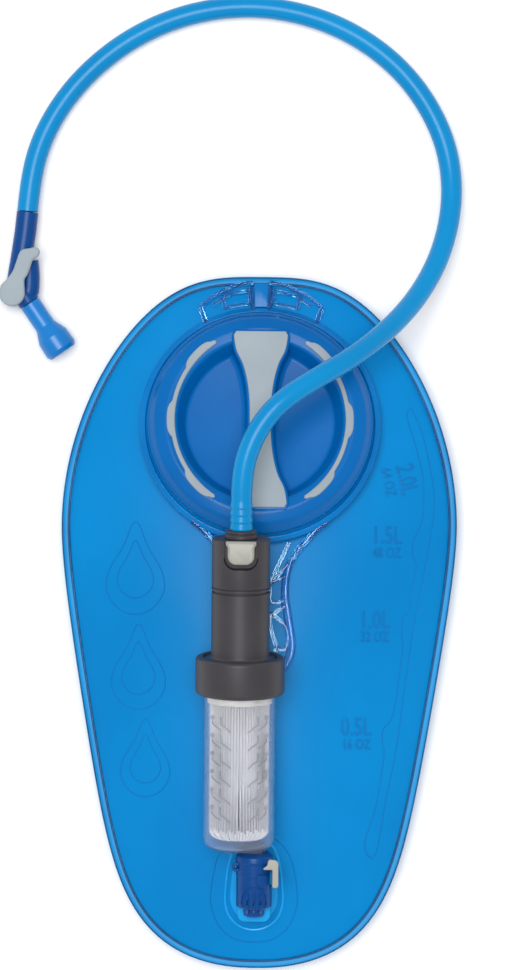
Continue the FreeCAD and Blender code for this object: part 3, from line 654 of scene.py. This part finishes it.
def make_port():
    flange = rounded([(50.0, -9.0), (61.8, -9.0, 1.0), (62.5, -1.2, 1.6), (59.6, 0.0, 0.8), (59.2, -1.0, 0.5),
                      (53.2, -1.0, 0.3), (53.0, 6.8, 0.5), (50.2, 6.8, 0.5), (50.0, -9.0)])
    shapes = [lathe(flange, 160)] + lug_ring(54.4, 52.8, 3.4, 5.4)
    piece("fill_port_moulding", *merge(*shapes), PORT_BLUE, place=ON_PORT, nodes=("fill_port",),
          slot="clear_blue")


def arc_points(centre, radius, start, end, steps):
    """Plan points on an arc, angles in degrees."""
    angles = [math.radians(start + (end - start) * k / steps) for k in range(steps + 1)]
    return [(centre[0] + radius * math.cos(a), centre[1] + radius * math.sin(a)) for a in angles]


LOOP_CENTRE = (0, 32.8)


def make_loops():
    shapes = []
    for side in (-1, 1):
        outer = arc_points(LOOP_CENTRE, 43.0, 84.0, 43.0, 20)
        inner = arc_points((0, 0), 60.5, 62.0, 86.0, 20)
        border = [(x * side, y, -1.6) for x, y in outer + inner]
        shapes.append(tube(border + border[:1], 1.2, sides=10))
        rib = arc_points(LOOP_CENTRE, 39.6, 81.0, 50.0, 16)
        shapes.append(tube([(x * side, y, -1.1) for x, y in rib], 0.75, sides=8))
        slot_edge = arc_points((0, 0), 71.2, 84.5, 73.5, 10) + arc_points((0, 0), 64.6, 73.0, 85.0, 10)
        slot_loop = [(x * side, y, -1.2) for x, y in slot_edge]
        shapes.append(tube(slot_loop, 0.9, sides=8, closed=True))
    web = rounded([(-3.6, 62.3, 0.8), (3.6, 62.3, 0.8), (3.9, 75.0, 0.8), (-3.9, 75.0, 0.8)], closed=True)
    piece("loop_web", *slab(web, pillow_levels(-2.6, -0.6, 0.5)), PORT_BLUE, place=ON_PORT, slot="clear_blue")
    piece("hanging_loops", *merge(*shapes), CLEAR_BLUE, place=ON_PORT, nodes=("hang_loops",),
          slot="clear_blue")


HANDLE_EDGE = ((34.8, 52.5), (30.6, 49.6), (24.5, 43.2), (19.0, 36.5), (15.6, 29.0), (14.1, 21.5),
               (14.1, 13.5), (15.4, 5.0), (16.9, -4.0), (17.8, -11.0), (16.6, -17.6), (13.2, -23.6),
               (7.5, -28.2), (0.0, -29.8))
HANDLE_RIBS = (((27.0, 46.5), (17.0, 33.0), (5.5, 20.5)), ((15.5, 42.0), (10.5, 31.0), (5.5, 20.5)),
               ((5.5, 20.5), (10.0, 23.0), (14.3, 24.5)), ((5.5, 20.5), (7.0, 11.0), (13.8, 12.0)),
               ((5.5, 20.5), (0.0, 16.5), (-5.5, 20.5)), ((14.0, 9.0), (7.0, 5.0), (0.0, 3.0)),
               ((7.0, 5.0), (14.0, -1.5), (15.3, -9.0), (13.4, -13.6), (9.6, -12.0), (6.0, 0.0), (7.0, 5.0)),
               ((9.6, -12.0), (6.5, -20.0), (0.0, -22.5)))
HANDLE_Z = 45.7


def make_handle():
    shapes = []
    for side in (-1, 1):
        edge = smooth_line([(x * side, y, HANDLE_Z) for x, y in HANDLE_EDGE])
        shapes.append(tube(edge, 1.55, sides=12, flatten=0.95))
        inner = smooth_line([(x * side * 0.86, y * 0.93 + 0.6, HANDLE_Z) for x, y in HANDLE_EDGE[2:]])
        shapes.append(tube(inner, 0.7, sides=8))
        for rib in HANDLE_RIBS:
            shapes.append(tube(smooth_line([(x * side, y, HANDLE_Z) for x, y in rib]), 0.85, sides=10))
    piece("carrying_handle", *merge(*shapes), CLEAR_BLUE, nodes=("port_handle",), slot="clear_blue")


# --- cap ---

BAR_HALF_LENGTH, BAR_END, BAR_WAIST = 46.5, 14.0, 5.5
BAR_SIDE = ((0.0, 0.0), (0.2, 10.0), (1.4, 20.0), (3.7, 29.0), (7.0, 36.0))
BAR_LEVELS = ((-3.2, 1.4), (-1.6, 1.75), (-0.6, 2.6), (-0.1, 4.2), (0.0, 8.0), (0.15, 11.2), (0.7, 11.9),
              (1.6, 12.1))
GRIP_LEVELS = ((0.0, 11.6), (0.0, 12.7), (0.2, 13.0), (0.7, 13.1))
PAD_LEVELS = ((0.0, 10.6), (0.0, 11.5), (0.25, 12.0), (0.8, 12.2))
PAD_CENTRE_X = -4.4
PAD_R, PAD_BUMP, PAD_BUMP_SPREAD = 50.9, 1.9, 10.5


def dog_bone(border):
    """Plan outline of the turning bar, anticlockwise."""
    right = [(BAR_WAIST + dx + border, y) for dx, y in BAR_SIDE]
    right += [(BAR_END + border - 0.3, 41.5), (BAR_END + border, 44.5)]
    upper = smooth_line([(x, y, 0) for x, y in right], 1.2)
    quarter = [(p.x, p.y) for p in upper] + [(BAR_END + border - 1.2, BAR_HALF_LENGTH + border)]
    top = quarter + [(-x, y) for x, y in reversed(quarter)]
    bottom = [(-x, -y) for x, y in top]
    return rounded(top[1:-1] + bottom[1:-1], closed=True)


def pad_shape():
    """One grip arc on the cap's crown, with three bumps on its outer side."""
    outer = []
    for angle in range(-55, 56):
        bump = sum(max(0.0, 1 - (abs(angle - middle) / PAD_BUMP_SPREAD) ** 4) ** 0.8
                   for middle in (-43, 0, 43))
        radius = PAD_R + PAD_BUMP * min(1.0, bump)
        turn = math.radians(angle)
        outer.append((radius * math.cos(turn) + PAD_CENTRE_X, radius * math.sin(turn)))
    tip = math.radians(56.6)
    tip_x, tip_y = 49.7 * math.cos(tip) + PAD_CENTRE_X, 49.7 * math.sin(tip)
    inner = arc_points((PAD_CENTRE_X, 0), 48.5, 55.4, -55.4, 60)
    return slab(outer + [(tip_x, tip_y)] + inner + [(tip_x, -tip_y)], PAD_LEVELS)


def make_cap():
    profile = rounded([(0.0, 1.5), (38.6, 1.5, 2.2), (43.2, 11.0, 2.6), (49.0, 11.6, 4.0), (54.6, 9.6, 4.0),
                       (57.0, 5.6, 2.0), (58.3, 4.4, 0.8), (58.3, 0.5, 0.4), (55.2, 0.5, 0.3),
                       (55.2, 8.4, 1.0), (46.0, 8.4, 1.5), (40.0, -0.5, 1.0), (0.0, -0.5)], steps=6)
    shapes = [lathe(profile, 180), slab(dog_bone(1.5), BAR_LEVELS)] + lug_ring(55.6, 53.6, 0.6, 2.2)
    piece("screw_cap", *merge(*shapes), CAP_BLUE, body="cap", place=ON_PORT, nodes=("cap_body",),
          slot="cap_blue")
    piece("cap_bar_overmould", *slab(dog_bone(0.0), GRIP_LEVELS), GREY_GRIP, body="cap", place=ON_PORT,
          nodes=("cap_grip_bar",), slot="grip_grey")
    pads = [moved(pad_shape(), Matrix.Rotation(math.radians(side), 4, "Z")) for side in (0, 180)]
    piece("cap_arc_overmoulds", *merge(*pads), GREY_GRIP, body="cap", place=ON_PORT,
          nodes=("cap_grip_pads",), slot="grip_grey")


# --- carving ---

def carved(shape, *cutters):
    """Cut closed shapes out of a closed shape."""
    holders = []
    for verts, faces in (shape,) + cutters:
        mesh = bpy.data.meshes.new("carve")
        mesh.from_pydata([tuple(v) for v in verts], [], faces)
        clean(mesh, CARVE_JOIN_WITHIN)
        holder = bpy.data.objects.new("carve", mesh)
        bpy.context.collection.objects.link(holder)
        holders.append(holder)
    for cutter in holders[1:]:
        cut = holders[0].modifiers.new("cut", "BOOLEAN")
        cut.object = cutter
        cut.solver = "EXACT"
    result = holders[0].evaluated_get(bpy.context.evaluated_depsgraph_get()).to_mesh()
    verts = [tuple(v.co) for v in result.vertices]
    faces = [tuple(f.vertices) for f in result.polygons]
    for holder in holders:
        mesh = holder.data
        bpy.data.objects.remove(holder)
        bpy.data.meshes.remove(mesh)
    return verts, faces


def upright(shape):
    """Turn a slab so that its plan lies in X and Z and its levels run along Y."""
    verts, faces = shape
    return [(x, z, y) for x, y, z in verts], faces


# --- filter ---

SHELL_R = 18.3
SHELL_INNER_R = 16.9
ROW_Z = (-22.0, -31.4, -40.8, -50.2, -59.6, -69.0)
FIBRES = 60
NECK_R = 15.0


def on_shell(points, lift=0.0):
    """Points (x, z) wrapped on the near side of the filter's shell."""
    radius = SHELL_R + lift
    return [(x, -math.sqrt(radius ** 2 - x ** 2), z) for x, z in points]


def make_filter():
    wall = rounded([(0.0, -91.0), (SHELL_R, -91.0, 5.5), (SHELL_R, -2.0, 0.3), (SHELL_INNER_R, -2.0, 0.3),
                    (SHELL_INNER_R, -89.6, 4.2), (0.0, -89.6)], steps=8)
    nipple = rounded([(3.2, -90.2), (5.4, -90.2), (5.4, -100.9, 0.2), (4.6, -100.9), (4.6, -102.9),
                      (5.4, -102.9, 0.2), (5.4, -107.0, 0.6), (3.2, -107.0, 0.4), (3.2, -90.2)])
    spout = moved(lathe(nipple, 48), Matrix.Translation(NIPPLE_AT))
    piece("filter_shell", *merge(lathe(wall, 120), spout), FROSTED, body="filter", place=ON_FILTER,
          nodes=("filter_housing",), slot="frosted_clear")
    relief = []
    for z in ROW_Z:
        for side in (-1, 1):
            dash = [(9.6 * side, z + 2.6), (9.6 * side, z - 1.6)]
            hook = [(13.9 * side, z + 1.6), (13.9 * side, z - 1.4), (11.6 * side, z - 3.4),
                    (9.6 * side, z - 4.4)]
            stroke = [(9.6 * side, z - 1.6), (6.8 * side, z - 3.2), (4.4 * side, z - 5.4)]
            for line in (dash, hook, stroke):
                relief.append(tube(on_shell(line, -0.1), 0.42, sides=8))
            knob = lathe(rounded([(0.0, -0.5), (1.1, -0.5, 0.4), (1.1, 0.5, 0.4), (0.0, 0.5)]), 20)
            knob_at = Matrix.Translation(on_shell([(13.9 * side, z + 1.8)])[0])
            relief.append(moved(knob, knob_at @ Matrix.Rotation(math.pi / 2, 4, "X")))
    # The embossed pattern carries painted shade in grey.
    piece("filter_shell_relief", *merge(*relief), EMBOSSED_SHADE_GREY, body="filter", place=ON_FILTER,
          slot="frosted_clear")

    core = rounded([(0.0, -84.6), (14.4, -84.6, 9.0), (14.4, -13.0), (0.0, -13.0)], steps=12)
    fibres = [lathe(core, 72)]
    for k in range(FIBRES):
        angle = 2 * math.pi * k / FIBRES
        reach = 2.5 + 2.0 * (k % 3)
        bend = rounded([(reach, -84.9), (14.8, -84.9, 9.0 + k % 2), (14.8, -13.2)], steps=10)
        fibres.append(tube([(r * math.cos(angle), r * math.sin(angle), z) for r, z in bend], 0.62, sides=6))
    piece("hollow_fibres", *merge(*fibres), FIBRE, body="filter", place=ON_FILTER, nodes=("fibre_bundle",),
          slot="fibre_white")

    collar = rounded([(18.4, -10.0), (23.0, -10.0, 2.6), (23.0, 9.4, 2.8), (19.2, 9.6, 1.0), (18.4, 8.6),
                      (18.4, -10.0)], steps=8)
    piece("filter_collar_ring", *lathe(collar, 120), BLACK, body="filter", place=ON_FILTER,
          nodes=("filter_collar",), slot="black_plastic")
    neck = rounded([(12.0, 0.5), (18.2, 0.5), (18.2, 8.8, 0.3), (NECK_R, 8.9, 3.4), (NECK_R, 43.3, 0.5),
                    (14.0, 43.3),
                    (14.0, 43.6), (12.0, 43.6), (12.0, 0.5)], steps=8)
    piece("filter_neck_tube", *lathe(neck, 120), BLACK, body="filter", place=ON_FILTER,
          nodes=("filter_neck",), slot="black_plastic")
    band = rounded([(12.0, 43.7), (14.2, 43.7), (14.2, 44.3), (15.1, 44.3, 0.3), (15.1, 45.6, 0.3),
                    (14.5, 45.6), (14.5, 45.9), (12.0, 45.9), (12.0, 43.7)])
    piece("neck_joint_band", *lathe(band, 120), BLACK, body="filter", place=ON_FILTER, nodes=("neck_band",),
          slot="black_plastic")


def curved_face(shape, radius, deepest):
    """Bend a plate that faces -Y round an axis along Z, keeping its underside flat."""
    verts, faces = shape
    verts = [(x, min(deepest, y + radius - math.sqrt(radius ** 2 - x ** 2)), z) for x, y, z in verts]
    return verts, faces


def make_coupling():
    socket = lathe(rounded([(7.5, 46.0), (NECK_R, 46.0, 0.4), (NECK_R, 71.0, 0.9), (7.5, 71.0, 0.5),
                            (7.5, 46.0)]), 120)
    recess_plan = rounded([(-8.6, 56.9, 5.6), (8.6, 56.9, 5.6), (8.6, 74.0), (-8.6, 74.0)], closed=True,
                          steps=10)
    recess = upright(slab(recess_plan, [(0.0, -18.0), (0.0, -12.0), (0.0, -9.2)]))
    piece("coupling_socket_body", *carved(socket, recess), BLACK, body="filter", place=ON_FILTER,
          nodes=("coupling_socket",), slot="black_plastic", sharp=28)
    # A near-black line of painted shade runs along the recess edge, in the gap round the button.
    edge = [(x, -math.sqrt(15.05 ** 2 - x ** 2), z) for x, z in recess_plan if z < 73]
    piece("recess_edge", *tube(smooth_line(edge, 0.8), 0.32, sides=8), GROOVE_SHADE_BLACK, body="filter",
          place=ON_FILTER, slot="black_plastic")
    plan = rounded([(-6.9, 59.3, 4.6), (6.9, 59.3, 4.6), (6.9, 68.0, 0.8), (7.9, 69.4, 0.8), (7.9, 71.2, 0.9),
                    (-7.9, 71.2, 0.9), (-7.9, 69.4, 0.8), (-6.9, 68.0, 0.8)], closed=True, steps=8)
    levels = [(1.4, -15.5), (0.7, -15.3), (0.25, -14.9), (0.0, -14.2), (0.0, -11.4)]
    button = curved_face(upright(slab(plan, levels)), 15.5, -11.4)
    piece("coupling_push_button", *button, BUTTON_GREY, body="coupling_button", place=ON_FILTER,
          nodes=("coupling_release_button",), slot="button_grey")


def make_hose_plug():
    plug = rounded([(3.0, 55.5), (7.3, 55.5, 0.8), (7.3, 58.5), (6.3, 58.5), (6.3, 60.1), (7.3, 60.1),
                    (7.3, 61.4, 0.3), (5.9, 62.2, 0.3), (5.9, 65.0, 0.3), (7.3, 65.8, 0.3), (7.3, 71.2),
                    (3.9, 71.2), (3.9, 90.9), (3.0, 90.9), (3.0, 55.5)])
    piece("plug_body", *lathe(plug, 72), BLACK, body="hose", place=ON_FILTER, nodes=("hose_plug",),
          slot="black_plastic")
    collar = rounded([(3.9, 71.2), (8.5, 71.2, 0.3), (8.5, 73.2, 0.5), (7.4, 73.5, 0.2), (7.9, 74.2, 0.4),
                      (7.9, 74.9, 0.4), (6.2, 75.5, 0.4), (3.9, 75.5), (3.9, 71.2)])
    piece("plug_shoulder", *lathe(collar, 96), BLACK, body="hose", place=ON_FILTER, nodes=("plug_collar",),
          slot="black_plastic")
    ridges = [(3.9, 75.5), (5.8, 75.5, 0.3)]
    for start in (76.2, 80.0, 83.8, 87.4):
        ridges += [(5.95, start, 0.3), (5.55, start + 2.8, 0.4)]
    cuff = rounded(ridges + [(5.5, 91.0), (3.9, 91.0), (3.9, 75.5)])
    piece("tube_end_cuff", *lathe(cuff, 72), HOSE_BLUE, body="hose", place=ON_FILTER, nodes=("hose_cuff",),
          slot="hose_blue")


# --- exit ---

PAD_EDGE = ((0.0, -166.0), (10.5, -164.2), (18.2, -157.5), (22.2, -147.5), (22.4, -139.0), (21.0, -129.5),
            (18.6, -121.0), (13.0, -113.4), (6.0, -109.8), (0.0, -109.0))
WELL_EDGE = ((0.0, -159.4), (7.2, -157.6), (12.6, -152.4), (14.8, -145.0), (14.4, -135.0), (13.0, -125.0),
             (10.0, -116.5), (5.0, -113.0), (0.0, -112.2))
STEM_Y = -142.0
LINK_R = 9.2


def mirrored_loop(half):
    return [(x, y, 0) for x, y in half] + [(-x, y, 0) for x, y in reversed(half[1:-1])]


def draped_patch(loop, lift):
    """A skin inside a plan loop, lying on the front film."""
    centre = sum(loop, Vector()) / len(loop)
    shares = (1.0, 0.75, 0.5, 0.25, 0.02)
    verts = []
    for share in shares:
        for p in loop:
            at = centre + (p - centre) * share
            verts.append((at.x, at.y, front_z(at.x, at.y) + lift * (1.0 if share < 1 else -0.5)))
    faces = band_faces(len(shares), len(loop))
    faces.append(last_ring(len(shares), len(loop)))
    return verts, faces


def make_exit():
    shift = Vector((ON_LINK.translation.x, 0, 0))
    pad = [p + shift for p in smooth_line(mirrored_loop(PAD_EDGE), closed=True)]
    well = [p + shift for p in smooth_line(mirrored_loop(WELL_EDGE), closed=True)]
    line = tube([(p.x, p.y, front_z(p.x, p.y)) for p in pad], 0.3, sides=8, closed=True)
    rim = tube([(p.x, p.y, front_z(p.x, p.y) + 0.2) for p in well], 0.75, sides=10, closed=True)
    piece("exit_pad_edge", *line, RELIEF_SHADE_BLUE, slot="clear_blue")
    piece("exit_pad", *draped_patch(pad, 0.25), FILM_BLUE, nodes=("exit_port_base",), slot="clear_blue")
    piece("exit_well", *draped_patch(well, 0.45), WELL_BLUE, slot="clear_blue")
    piece("exit_well_rim", *rim, WELL_BLUE, slot="clear_blue")
    cradle_plan = rounded([(-8.4, -131.5, 3.6), (8.4, -131.5, 3.6), (8.4, -121.0, 1.0), (-8.4, -121.0, 1.0)],
                          closed=True)
    cradle = moved(upright(slab(cradle_plan, pillow_levels(2.0, 11.0, 0.8))), ON_LINK)
    stem_top = front_z(ON_LINK.translation.x, STEM_Y)
    stem = moved(lathe(rounded([(0.0, 26.0), (8.0, 26.0), (7.0, stem_top + 3.0, 2.0), (6.6, 41.0, 1.0),
                                (0.0, 41.0)]), 48),
                 Matrix.Translation((ON_LINK.translation.x, STEM_Y, 0)))
    piece("exit_cradle", *merge(cradle, stem), WELL_BLUE, slot="clear_blue")

    profile = rounded([(5.5, -94.5), (7.6, -94.5, 0.5), (9.6, -96.0, 0.9), (9.9, -99.0, 0.8),
                       (9.3, -99.6, 0.3), (9.4, -106.0, 0.3), (LINK_R, -106.6, 0.2), (LINK_R, -122.6, 0.8),
                       (5.6, -124.0, 1.0), (5.2, -128.0, 1.2), (0.0, -128.0), (0.0, -124.0), (5.5, -124.0),
                       (5.5, -94.5)])
    arch = [(-6.2, -122.0), (-6.2, -116.5), (-4.4, -113.0), (0.0, -111.6), (4.4, -113.0), (6.2, -116.5),
            (6.2, -122.0)]
    arch_line = [(x, -math.sqrt(9.3 ** 2 - x ** 2), z) for x, z in arch]
    ribs = [tube(smooth_line(arch_line), 0.5, sides=8)]
    for x, start in ((-3.4, -114.6), (0.0, -113.4), (3.4, -114.6)):
        face_y = -math.sqrt(LINK_R ** 2 - x ** 2)
        ribs.append(tube(smooth_line([(x, face_y, start), (x, face_y, -122.0), (x, -4.6, -125.6)]), 0.75,
                         sides=8))
    lobe_plan = rounded([(1.4, -111.5, 3.0), (7.8, -111.5, 2.0), (7.8, -104.6, 2.6), (1.4, -104.6, 1.0)],
                        closed=True)
    lobe = curved_face(upright(slab(lobe_plan, pillow_levels(-10.4, -7.6, 0.8))), 12.0, -5.0)
    ear_ring = rounded([(1.0, -1.2), (2.5, -1.2, 0.5), (2.5, 1.2, 0.5), (1.0, 1.2, 0.3), (1.0, -1.2)])
    ear = moved(lathe(ear_ring, 32),
                Matrix.Translation((-9.0, -3.5, -101.6)) @ Matrix.Rotation(math.pi / 2, 4, "X"))
    latch_space = [(8.0, -112.0), (20.0, -112.0), (20.0, -99.8), (8.0, -99.8)]
    shell = carved(lathe(profile, 96), upright(slab(latch_space, [(0.0, -4.6), (0.0, 4.6)])))
    piece("quicklink_shell", *merge(shell, lobe, ear, *ribs), NAVY, place=ON_LINK, nodes=("quicklink_body",),
          slot="navy_plastic")
    plate = rounded([(3.4, -101.6, 0.8), (9.4, -101.6, 0.6), (9.4, -111.0, 0.8), (12.5, -111.0, 1.4),
                     (12.5, -96.6, 2.4), (7.4, -96.0, 1.2), (6.6, -99.4, 1.6)], closed=True)
    button = upright(slab(plate, pillow_levels(-11.2, -9.9, 0.5)))
    leg_plan = rounded([(9.9, -111.0, 0.8), (12.4, -111.0, 0.8), (12.4, -100.2, 0.8), (9.9, -100.2, 0.8)],
                       closed=True)
    leg = upright(slab(leg_plan, pillow_levels(-10.4, 4.0, 0.6)))
    piece("quicklink_push_button", *merge(button, leg), BUTTON_GREY, body="exit_button", place=ON_LINK,
          nodes=("exit_release_button",), slot="button_grey")


# --- shut-off valve and bite valve ---

LEVER_EDGE = ((-123.0, 171.2), (-123.2, 177.1), (-121.7, 179.5), (-120.2, 183.7), (-118.7, 187.6),
              (-116.2, 189.2), (-115.3, 191.6), (-116.3, 193.6), (-118.6, 194.0), (-121.0, 193.4),
              (-123.6, 193.1), (-125.4, 192.0), (-126.6, 189.6), (-127.9, 185.5), (-129.6, 181.2),
              (-132.4, 177.4), (-135.6, 174.0))
LEVER_LIFT, LEVER_LIFT_FROM, LEVER_LIFT_RUN = 1.5, 8, 18


def make_valve():
    z = PIVOT.z
    sleeve = smooth_line([(-122.1, 212.5, z), (-123.2, 202.0, z), (-124.9, 190.0, z), (-126.6, 179.0, z),
                          (-127.4, 173.0, z)])
    shoulder = smooth_line([(-121.4, 187.0, z), (-120.7, 180.0, z), (-120.9, 172.0, z), (-122.6, 168.4, z)])
    drum = moved(lathe(rounded([(0, -6.3), (6.6, -6.3, 1.2), (6.6, 6.6, 0.8), (0, 6.6)]), 64),
                 Matrix.Translation(PIVOT))
    along = axes_frame(BITE_AXIS, BITE_ROOT, (0, 0, 1))
    stem = rounded([(0, -3.0), (5.6, -3.0, 2.0), (5.7, 9.0, 0.4), (4.0, 9.1), (4.0, 17.5, 0.4),
                    (3.2, 19.0, 0.3), (0, 19.0)])
    spigot = moved(lathe(stem, 64), along)
    body = merge(tube(sleeve, 5.65, sides=40), tube(shoulder, 5.2, sides=32), drum, spigot)
    piece("shutoff_valve_body", *body, NAVY, body="hose", nodes=("valve_body",), slot="navy_plastic")
    hub = arc_points((PIVOT.x, PIVOT.y), 6.7, 150, 370, 26)
    plan = [(p.x, p.y) for p in smooth_line([(x, y, 0) for x, y in LEVER_EDGE], 0.9)] + hub[1:-1]
    verts, faces = slab(plan, pillow_levels(15.4, 18.4, 1.3, 5))
    raised = []
    for x, y, h in verts:
        share = max(0.0, math.hypot(x - PIVOT.x, y - PIVOT.y) - LEVER_LIFT_FROM) / LEVER_LIFT_RUN
        raised.append((x, y, h + LEVER_LIFT * share))
    piece("shutoff_thumb_lever", raised, faces, GREY_GRIP, body="shutoff", nodes=("shutoff_lever",),
          slot="grip_grey")
    bite = rounded([(4.05, 9.3), (5.4, 9.3, 0.4), (5.4, 23.6, 3.0), (8.3, 30.2, 1.4), (8.6, 38.0, 1.4),
                    (7.4, 40.1, 0.8), (0.0, 40.4), (0.0, 37.4), (5.4, 36.4, 0.6), (5.4, 32.2, 0.6),
                    (4.05, 30.2), (4.05, 9.3)], steps=7)
    piece("bite_valve_sheath", *lathe(bite, 96), SILICONE, body="bite", place=along, nodes=("bite_valve",),
          slot="silicone_blue")


# --- raised drops on the front film ---

DROP = ((0.0, 20.0), (5.0, 10.0), (10.5, 0.5), (11.5, -7.5), (7.0, -14.5), (0.0, -17.0), (-7.0, -14.5),
        (-11.5, -7.5), (-10.5, 0.5), (-5.0, 10.0))


def make_drops():
    shapes = []
    for x, y, size in ((-64.0, 26.0, 1.3), (-62.0, -25.0, 1.2), (-58.0, -72.0, 1.1)):
        for share in (1.0, 0.62):
            edge = [(x + u * size * share, y + v * size * share, 0) for u, v in DROP]
            loop = smooth_line(edge, closed=True)
            line = [(p.x, p.y, front_z(p.x, p.y) - 0.1) for p in loop]
            shapes.append(tube(line, 0.32, sides=8, closed=True))
    piece("front_drops", *merge(*shapes), RELIEF_SHADE_BLUE, slot="film_blue")


# --- drinking tube ---

def make_hose():
    curve = bpy.data.curves.new("drinking_tube", "CURVE")
    curve.dimensions = "3D"
    spline = curve.splines.new("NURBS")
    spline.points.add(len(ROUTE) - 1)
    for point, (x, y, z) in zip(spline.points, ROUTE):
        point.co = (x * MM, y * MM, z * MM, 1.0)
    spline.order_u = 3
    spline.use_endpoint_u = True
    spline.resolution_u = 12
    curve.bevel_depth = HOSE_R * MM
    curve.bevel_resolution = 8
    curve.use_fill_caps = True
    obj = bpy.data.objects.new("drinking_tube", curve)
    bpy.context.collection.objects.link(obj)
    curve.materials.append(HOSE_BLUE)
    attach(obj, "hose")
    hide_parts("hose_tube")
    return obj


# --- studio ---

CAMERA_AT = (-1.1, 71.5)
CAMERA_DISTANCE = 5.0
FRAME_HEIGHT = 0.5044
SENSOR = 36.0
ROLL = 0.525
FLOOR_REACH = 6.0
ROOM_LIGHT = 0.62
SUN_LIGHT, SUN_SPREAD = 2.3, 32
SUN_TOWARDS = (0.08, -0.07, -1.0)


def make_studio():
    scene = bpy.context.scene
    scene.view_settings.view_transform = "Standard"
    floor_mesh = bpy.data.meshes.new("floor")
    corners = [(x * FLOOR_REACH, y * FLOOR_REACH, 0) for x, y in ((-1, -1), (1, -1), (1, 1), (-1, 1))]
    floor_mesh.from_pydata(corners, [], [(0, 1, 2, 3)])
    floor = bpy.data.objects.new("floor", floor_mesh)
    bpy.context.collection.objects.link(floor)
    floor_mesh.materials.append(finish("floor_white", srgb(244, 244, 244), srgb(248, 248, 248), 0.9, patch=2))
    world = bpy.data.worlds.new("studio")
    scene.world = world
    world.use_nodes = True
    world.node_tree.nodes["Background"].inputs["Color"].default_value = (1.0, 1.0, 1.0, 1.0)
    world.node_tree.nodes["Background"].inputs["Strength"].default_value = ROOM_LIGHT
    sun = bpy.data.lights.new("overhead", "SUN")
    sun.energy = SUN_LIGHT
    sun.angle = math.radians(SUN_SPREAD)
    lamp = bpy.data.objects.new("overhead", sun)
    lamp.rotation_euler = Vector(SUN_TOWARDS).to_track_quat("-Z", "Y").to_euler()
    bpy.context.collection.objects.link(lamp)
    data = bpy.data.cameras.new("camera")
    data.sensor_width = SENSOR
    data.lens = SENSOR * CAMERA_DISTANCE / FRAME_HEIGHT
    data.clip_end = 50.0
    camera = bpy.data.objects.new("camera", data)
    camera.location = (CAMERA_AT[0] * MM, CAMERA_AT[1] * MM, CAMERA_DISTANCE + SEAM_Z * MM)
    camera.rotation_euler = (0, 0, math.radians(ROLL))
    bpy.context.collection.objects.link(camera)
    scene.camera = camera


finish_cad_nodes()
make_bag()
make_rim()
make_scale()
make_port()
make_loops()
make_handle()
make_cap()
make_filter()
make_coupling()
make_hose_plug()
make_exit()
make_valve()
make_drops()
hose = make_hose()
make_studio()
